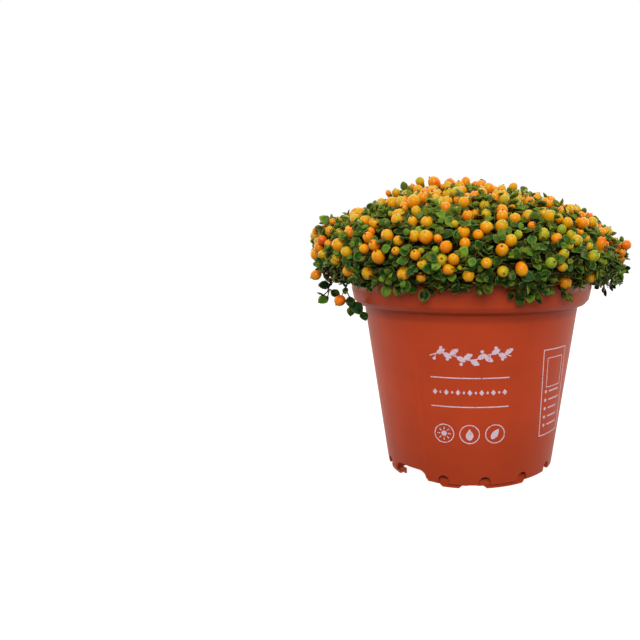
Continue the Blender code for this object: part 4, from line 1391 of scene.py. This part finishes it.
class BEADPLANT_OT_berries(bpy.types.Operator):
    """Set the berries on the mat"""

    bl_idname = "beadplant.berries"
    bl_label = "Berries"

    def execute(self, context):
        plant = context.scene.bead_plant
        chance = random.Random(plant.seed + 3)
        shapes = [berry_shape(n % 5 < 2, BERRY_SEED_STEP * n) for n in range(BERRY_SHAPES)]
        bm, stalks = bmesh.new(), bmesh.new()
        twig = stem_shape(5)
        for centre, axis, radius, tone, spot in all_berries(plant, Sight(context.scene.bead_stage)):
            shape = chance.choice(shapes)
            squash = (1.0, chance.uniform(*BERRY_WIDTHS), chance.uniform(*BERRY_LENGTHS), 1.0)
            grown = Matrix.Diagonal(squash) @ Matrix.Scale(radius, 4)
            add_copy(bm, shape, Matrix.Translation(centre) @ aimed(axis) @ grown, tone)
            root = spot.place - spot.normal * STALK_DEPTH
            add_copy(stalks, twig, stem_matrix(root, centre, STALK_RADIUS))
        dress(link("mat_berries", bm), berry_skin(plant), "foliage", "leaf_mat")
        bark = stem_bark("pale berry stalks", linear("#8c8a4e"), 0.5)
        dress(link("berry_stalks", stalks), bark, "foliage", "leaf_mat")
        return {"FINISHED"}


class BEADPLANT_OT_shoots(bpy.types.Operator):
    """Grow the leafy shoots of the mat between its berries"""

    bl_idname = "beadplant.shoots"
    bl_label = "Shoots"

    def execute(self, context):
        plant = context.scene.bead_plant
        sight = Sight(context.scene.bead_stage)
        chance = random.Random(plant.seed + 2)
        finder = BerryFinder(sight, all_berries(plant, sight))
        shapes = [leaf_shape(plant, cup) for cup in LEAF_CUPS]
        twig = stem_shape(4)
        leaves = {name: bmesh.new() for name in LAYERS}
        stems, dead = bmesh.new(), bmesh.new()
        points = [Vector(point) * plant.leaf_length for point in LEAF_POINTS]
        for spot in even_spots(chance, SHOOT_DRAWS, plant.shoot_spacing, SHOOTS_FROM):
            axis = upturned(spot, SHOOT_UPTURN, SHOOT_LEAN, chance)
            deep = chance.random() < DEEP_SHARE
            rise = chance.uniform(*(DEEP_RISE if deep else SHOOT_RISE))
            rise -= CROWN_SINK * max(0.0, spot.share) ** 2
            tip = spot.place + spot.normal * rise
            size = chance.uniform(*SHOOT_SIZES)
            # Painted shade: darker leaves on deep shoots and where the mat rolls under.
            tone = DEEP_SHADE if deep else chance.gauss(0.0, SHOOT_VARIATION)
            tone += ROLL_SHADE * max(0.0, -spot.share)
            layer = leaves[LAYERS[bisect(LAYER_STARTS, spot.share)]]
            root = tip - axis * SHOOT_LENGTH
            add_copy(stems, twig, stem_matrix(root, tip, plant.stem_radius * SHOOT_THINNING))
            dry = spot.normal.dot(sight.eye - tip) > 0.0 and sight.in_patch(tip, DRY_PATCHES)
            for matrix, shade in shoot_leaves(tip, axis, size, tone, chance):
                if dry and chance.random() < DRY_LOSS:
                    continue
                ends = [matrix @ point for point in points]
                shape = chance.choice(shapes)
                if finder.touched(ends, LEAF_CLEARANCE) or any(map(inside_pot, ends)):
                    continue
                if not finder.hidden(ends[0]) and not sight.in_patch(ends[0], LEAFLESS_PATCHES):
                    add_copy(layer, shape, matrix, shade)
        for spot in even_spots(chance, UNDER_DRAWS, UNDER_SPACING, UNDER_FROM):
            tip = risen(spot, UNDER_RISE, chance)
            axis = jittered(spot.normal, UNDER_LEAN, chance)
            layer = leaves[LAYERS[bisect(LAYER_STARTS, spot.share)]]
            # Painted shade: the under layer's leaves are darkened.
            for matrix, shade in shoot_leaves(tip, axis, 1.0, UNDER_SHADE, chance, LEAF_PAIRS[:1]):
                if not any(inside_pot(matrix @ point) for point in points):
                    add_copy(layer, chance.choice(shapes), matrix, shade)
        facing = sight.facing_spots()
        for tone, group in SEEN_LEAVES.items():
            for across, down, width in group:
                spot = facing(across, down)
                centre = sight.put(spot.place + spot.normal * SEEN_LEAF_RISE, across, down)
                matrix = sight.blade(plant, centre, spot.normal, width, chance)
                add_copy(leaves["flank_leaves"], chance.choice(shapes), matrix, tone)
                add_copy(stems, twig, stem_matrix(spot.place, matrix.to_translation(), SEEN_LEAF_STEM))
        for across, down, half in DRY_PATCHES:
            for _ in range(DRY_TWIGS):
                aim = (across + chance.gauss(0.0, half / 2.0), down + chance.gauss(0.0, half / 2.0))
                spot = facing(*aim)
                start = risen(spot, DRY_RISE, chance)
                end = start + jittered(spot.normal, DRY_LEAN, chance) * chance.uniform(*DRY_LENGTHS)
                if not finder.touched((start, end), TWIG_CLEARANCE) and not inside_pot(end):
                    add_copy(dead, twig, stem_matrix(start, end, chance.uniform(*DRY_RADII)))
        dress(link("dry_twigs", dead), stem_bark("dry twigs", linear("#6b5334"), 0.8), "foliage", "leaf_mat")
        leaf = living_leaf(plant)
        for name, bm in leaves.items():
            dress(link(name, bm), leaf, "foliage", "leaf_mat")
        bark = stem_bark("green shoot stems", linear("#5d6a2c"), 0.5)
        dress(link("shoot_stems", stems), bark, "foliage", "leaf_mat")
        return {"FINISHED"}


def trail_route(azimuth, reach, tip_height):
    """The centreline of a stem from its hole in the soil, over the rim and down."""
    edge, height = RIM_CROSSING
    out_power, down_power = TRAIL_POWERS
    points = [polar(azimuth, *place) for place in (TRAIL_ROOT, *TRAIL_RISE, RIM_CROSSING)]
    for n in range(1, TRAIL_STEPS + 1):
        angle = n / TRAIL_STEPS * pi / 2.0
        out = edge + (reach - edge) * sin(angle) ** out_power
        down = height - (height - tip_height) * (1.0 - cos(angle)) ** down_power
        swing = TRAIL_SWAY * sin(radians(3.0 * azimuth)) * n / TRAIL_STEPS
        points.append(polar(azimuth + swing, out, down))
    return points


def side_shoots(route, out, count, spread, chance):
    """(start, tip, axis) of the short shoots along a hanging stem."""
    shoots = []
    for n in range(count):
        step = HANGS_FROM + (len(route) - HANGS_FROM - 1) * (n + 0.5) / count
        index = int(step)
        start = route[index].lerp(route[min(index + 1, len(route) - 1)], step - index)
        across = out.cross(UP) * chance.gauss(0.0, spread)
        axis = (out * SIDE_OUTWARD - UP * SIDE_SAG + across / SIDE_TURN).normalized()
        tip = start + across + out * chance.uniform(*SIDE_OUT) - UP * chance.uniform(*SIDE_DOWN)
        shoots.append((start, tip, jittered(axis, SIDE_LEAN, chance)))
    return shoots


class BEADPLANT_OT_trails(bpy.types.Operator):
    """Grow the leafy stems that trail over the rim"""

    bl_idname = "beadplant.trails"
    bl_label = "Trailing stems"

    def execute(self, context):
        plant = context.scene.bead_plant
        sight = Sight(context.scene.bead_stage)
        shapes = [leaf_shape(plant, cup) for cup in LEAF_CUPS]
        twig = stem_shape(6)
        leaf = living_leaf(plant)
        bark = stem_bark("trailing stems", linear("#3a2d14"), 0.55)
        skin = berry_skin(plant)
        ball = berry_shape(True)
        for nth, row in enumerate(TRAILS, 1):
            azimuth, reach, low, shown, count, pairs, size, spread, tone, fruit_step = row
            chance = random.Random(plant.seed + 10 + nth)
            node = f"trailing_stem_{nth}"
            route = trail_route(azimuth, reach * MM, low * MM)[:shown]
            out = polar(azimuth, 1.0, 0.0)
            stem, blades = bmesh.new(), bmesh.new()
            for start, end in zip(route, route[1:]):
                add_copy(stem, twig, stem_matrix(start, end, TRAIL_STEM))
            grown = list(route)
            for across, down, tip_across, tip_down, width, shade in SEEN_SHOOTS.get(nth, ()):
                near = grown[sight.nearest(grown)(across, down)]
                start = sight.clear_of_pot(sight.put(near, across, down))
                centre = sight.clear_of_pot(sight.put(start + out * SEEN_STEP, tip_across, tip_down))
                matrix = sight.blade(plant, centre, (centre - start).normalized(), width, chance, LEAST_SEEN)
                root = matrix.to_translation()
                add_copy(stem, twig, stem_matrix(near, start, SHOWN_STEM))
                add_copy(stem, twig, stem_matrix(start, root, SHOWN_STEM))
                add_copy(blades, chance.choice(shapes), matrix, shade)
                grown += (start, root)
            for start, tip, axis in side_shoots(route, out, count, spread * MM, chance):
                add_copy(stem, twig, stem_matrix(start, tip, SIDE_STEM))
                for matrix, shade in shoot_leaves(tip, axis, size, tone, chance, LEAF_PAIRS[:pairs]):
                    if not inside_pot(matrix @ Vector((0.0, plant.leaf_length, 0.0))):
                        add_copy(blades, chance.choice(shapes), matrix, shade)
            dress(link(f"{node}_leaves", blades), leaf, "foliage", node)
            place = None
            if nth in SEEN_TRAIL_BERRY:
                place = sight.put(route[-1], *SEEN_TRAIL_BERRY[nth])
            elif fruit_step is not None:
                place = route[fruit_step] + out * plant.berry_radius * FRUIT_OFF
            if place is not None:
                fruit = bmesh.new()
                matrix = Matrix.Translation(place) @ aimed(out - UP) @ Matrix.Scale(plant.berry_radius, 4)
                add_copy(fruit, ball, matrix, FRUIT_TONE)
                add_copy(stem, twig, stem_matrix(route[-2], place, FRUIT_STEM))
                dress(link(f"{node}_berry", fruit), skin, "foliage", node)
            dress(link(f"{node}_bark", stem), bark, "foliage", node)
        return {"FINISHED"}


# Stage


def studio_world(stage):
    """A white room, bright overhead and dimmer at the sides, with a backdrop that shows pure white."""
    world = bpy.data.worlds.new("studio")
    world.use_nodes = True
    tree = world.node_tree
    height = add_node(tree, "SeparateXYZ", add_node(tree, "TexCoord", out="Generated"), out="Z")
    span = {"From_Min": 0.3, "From_Max": 0.75, "To_Min": stage.sides, "To_Max": stage.overhead}
    light = add_node(tree, "MapRange", **SMOOTH, **span, Value=height)
    seen = add_node(tree, "LightPath", out="Is Camera Ray")
    sky = tree.nodes["Background"]
    sky.inputs["Color"].default_value = (*WHITE, 1.0)
    strength = add_node(tree, "MapRange", Value=seen, To_Min=light, To_Max=1.0)
    tree.links.new(strength, sky.inputs["Strength"])
    return world


def lit_acrylic(stage):
    """Opal acrylic, lit from behind. It gives a white floor that lights the pot only faintly."""
    material, tree = new_material(
        "lit opal acrylic", Roughness=0.9, Base_Color=stage.floor_colour, Emission_Color=(*WHITE, 1.0)
    )
    glossy = add_node(tree, "LightPath", out="Is Glossy Ray")
    seen = add_node(tree, "LightPath", out="Is Camera Ray")
    sheen = add_node(tree, "MapRange", Value=glossy, To_Min=stage.floor_fill, To_Max=stage.floor_sheen)
    glow = add_node(tree, "MapRange", Value=seen, To_Min=sheen, To_Max=stage.floor_glow)
    tree.links.new(glow, tree.nodes["Principled BSDF"].inputs["Emission Strength"])
    return material


class BEADPLANT_OT_stage(bpy.types.Operator):
    """Set the floor, the soft lights and the camera"""

    bl_idname = "beadplant.stage"
    bl_label = "Stage"

    def execute(self, context):
        scene = context.scene
        stage = scene.bead_stage
        bm = bmesh.new()
        bmesh.ops.create_circle(bm, cap_ends=True, segments=FLOOR_SIDES, radius=FLOOR_RADIUS)
        floor = link("floor", bm)
        floor.data.materials.append(lit_acrylic(stage))
        scene.world = studio_world(stage)
        aim = Vector((0.0, 0.0, POT_HEIGHT))
        for name, place, size, power, tint in LIGHTS:
            data = bpy.data.lights.new(name, "AREA")
            data.color = tint
            data.size = size
            data.energy = getattr(stage, power)
            lamp = bpy.data.objects.new(name, data)
            lamp.location = place
            lamp.rotation_euler = (aim - Vector(place)).to_track_quat("-Z", "Y").to_euler()
            lamp.visible_camera = False
            scene.collection.objects.link(lamp)
        data = bpy.data.cameras.new("camera")
        data.lens = stage.lens
        data.sensor_width = SENSOR
        data.shift_x = SHIFT
        sight = Sight(stage)
        camera = bpy.data.objects.new("camera", data)
        camera.location = sight.eye
        camera.rotation_euler = sight.turn.to_euler()
        scene.collection.objects.link(camera)
        scene.camera = camera
        scene.view_settings.view_transform = "Standard"
        return {"FINISHED"}


OPERATORS = (
    BEADPLANT_OT_pot,
    BEADPLANT_OT_print,
    BEADPLANT_OT_soil,
    BEADPLANT_OT_tangle,
    BEADPLANT_OT_berries,
    BEADPLANT_OT_shoots,
    BEADPLANT_OT_trails,
    BEADPLANT_OT_stage,
)


class BEADPLANT_PT_panel(bpy.types.Panel):
    """The plant's pieces and settings in the sidebar"""

    bl_label = "Bead Plant"
    bl_idname = "BEADPLANT_PT_panel"
    bl_space_type = "VIEW_3D"
    bl_region_type = "UI"
    bl_category = "Bead Plant"

    def draw(self, context):
        for settings in (context.scene.bead_pot, context.scene.bead_plant, context.scene.bead_stage):
            box = self.layout.box()
            for name in settings.bl_rna.properties.keys():
                if name not in ("rna_type", "name"):
                    box.prop(settings, name)
        for operator in OPERATORS:
            self.layout.operator(operator.bl_idname)


SETTINGS = {"bead_pot": PotSettings, "bead_plant": PlantSettings, "bead_stage": StageSettings}
CLASSES = (*SETTINGS.values(), *OPERATORS, BEADPLANT_PT_panel)


def register():
    """Makes the settings and the operators known to Blender."""
    for each in CLASSES:
        bpy.utils.register_class(each)
    for name, group in SETTINGS.items():
        setattr(bpy.types.Scene, name, PointerProperty(type=group))


def unregister():
    """Takes them away again."""
    for name in SETTINGS:
        delattr(bpy.types.Scene, name)
    for each in reversed(CLASSES):
        bpy.utils.unregister_class(each)


def main():
    """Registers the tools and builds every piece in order."""
    register()
    for operator in OPERATORS:
        group, name = operator.bl_idname.split(".")
        getattr(getattr(bpy.ops, group), name)()


if __name__ == "__main__":
    main()
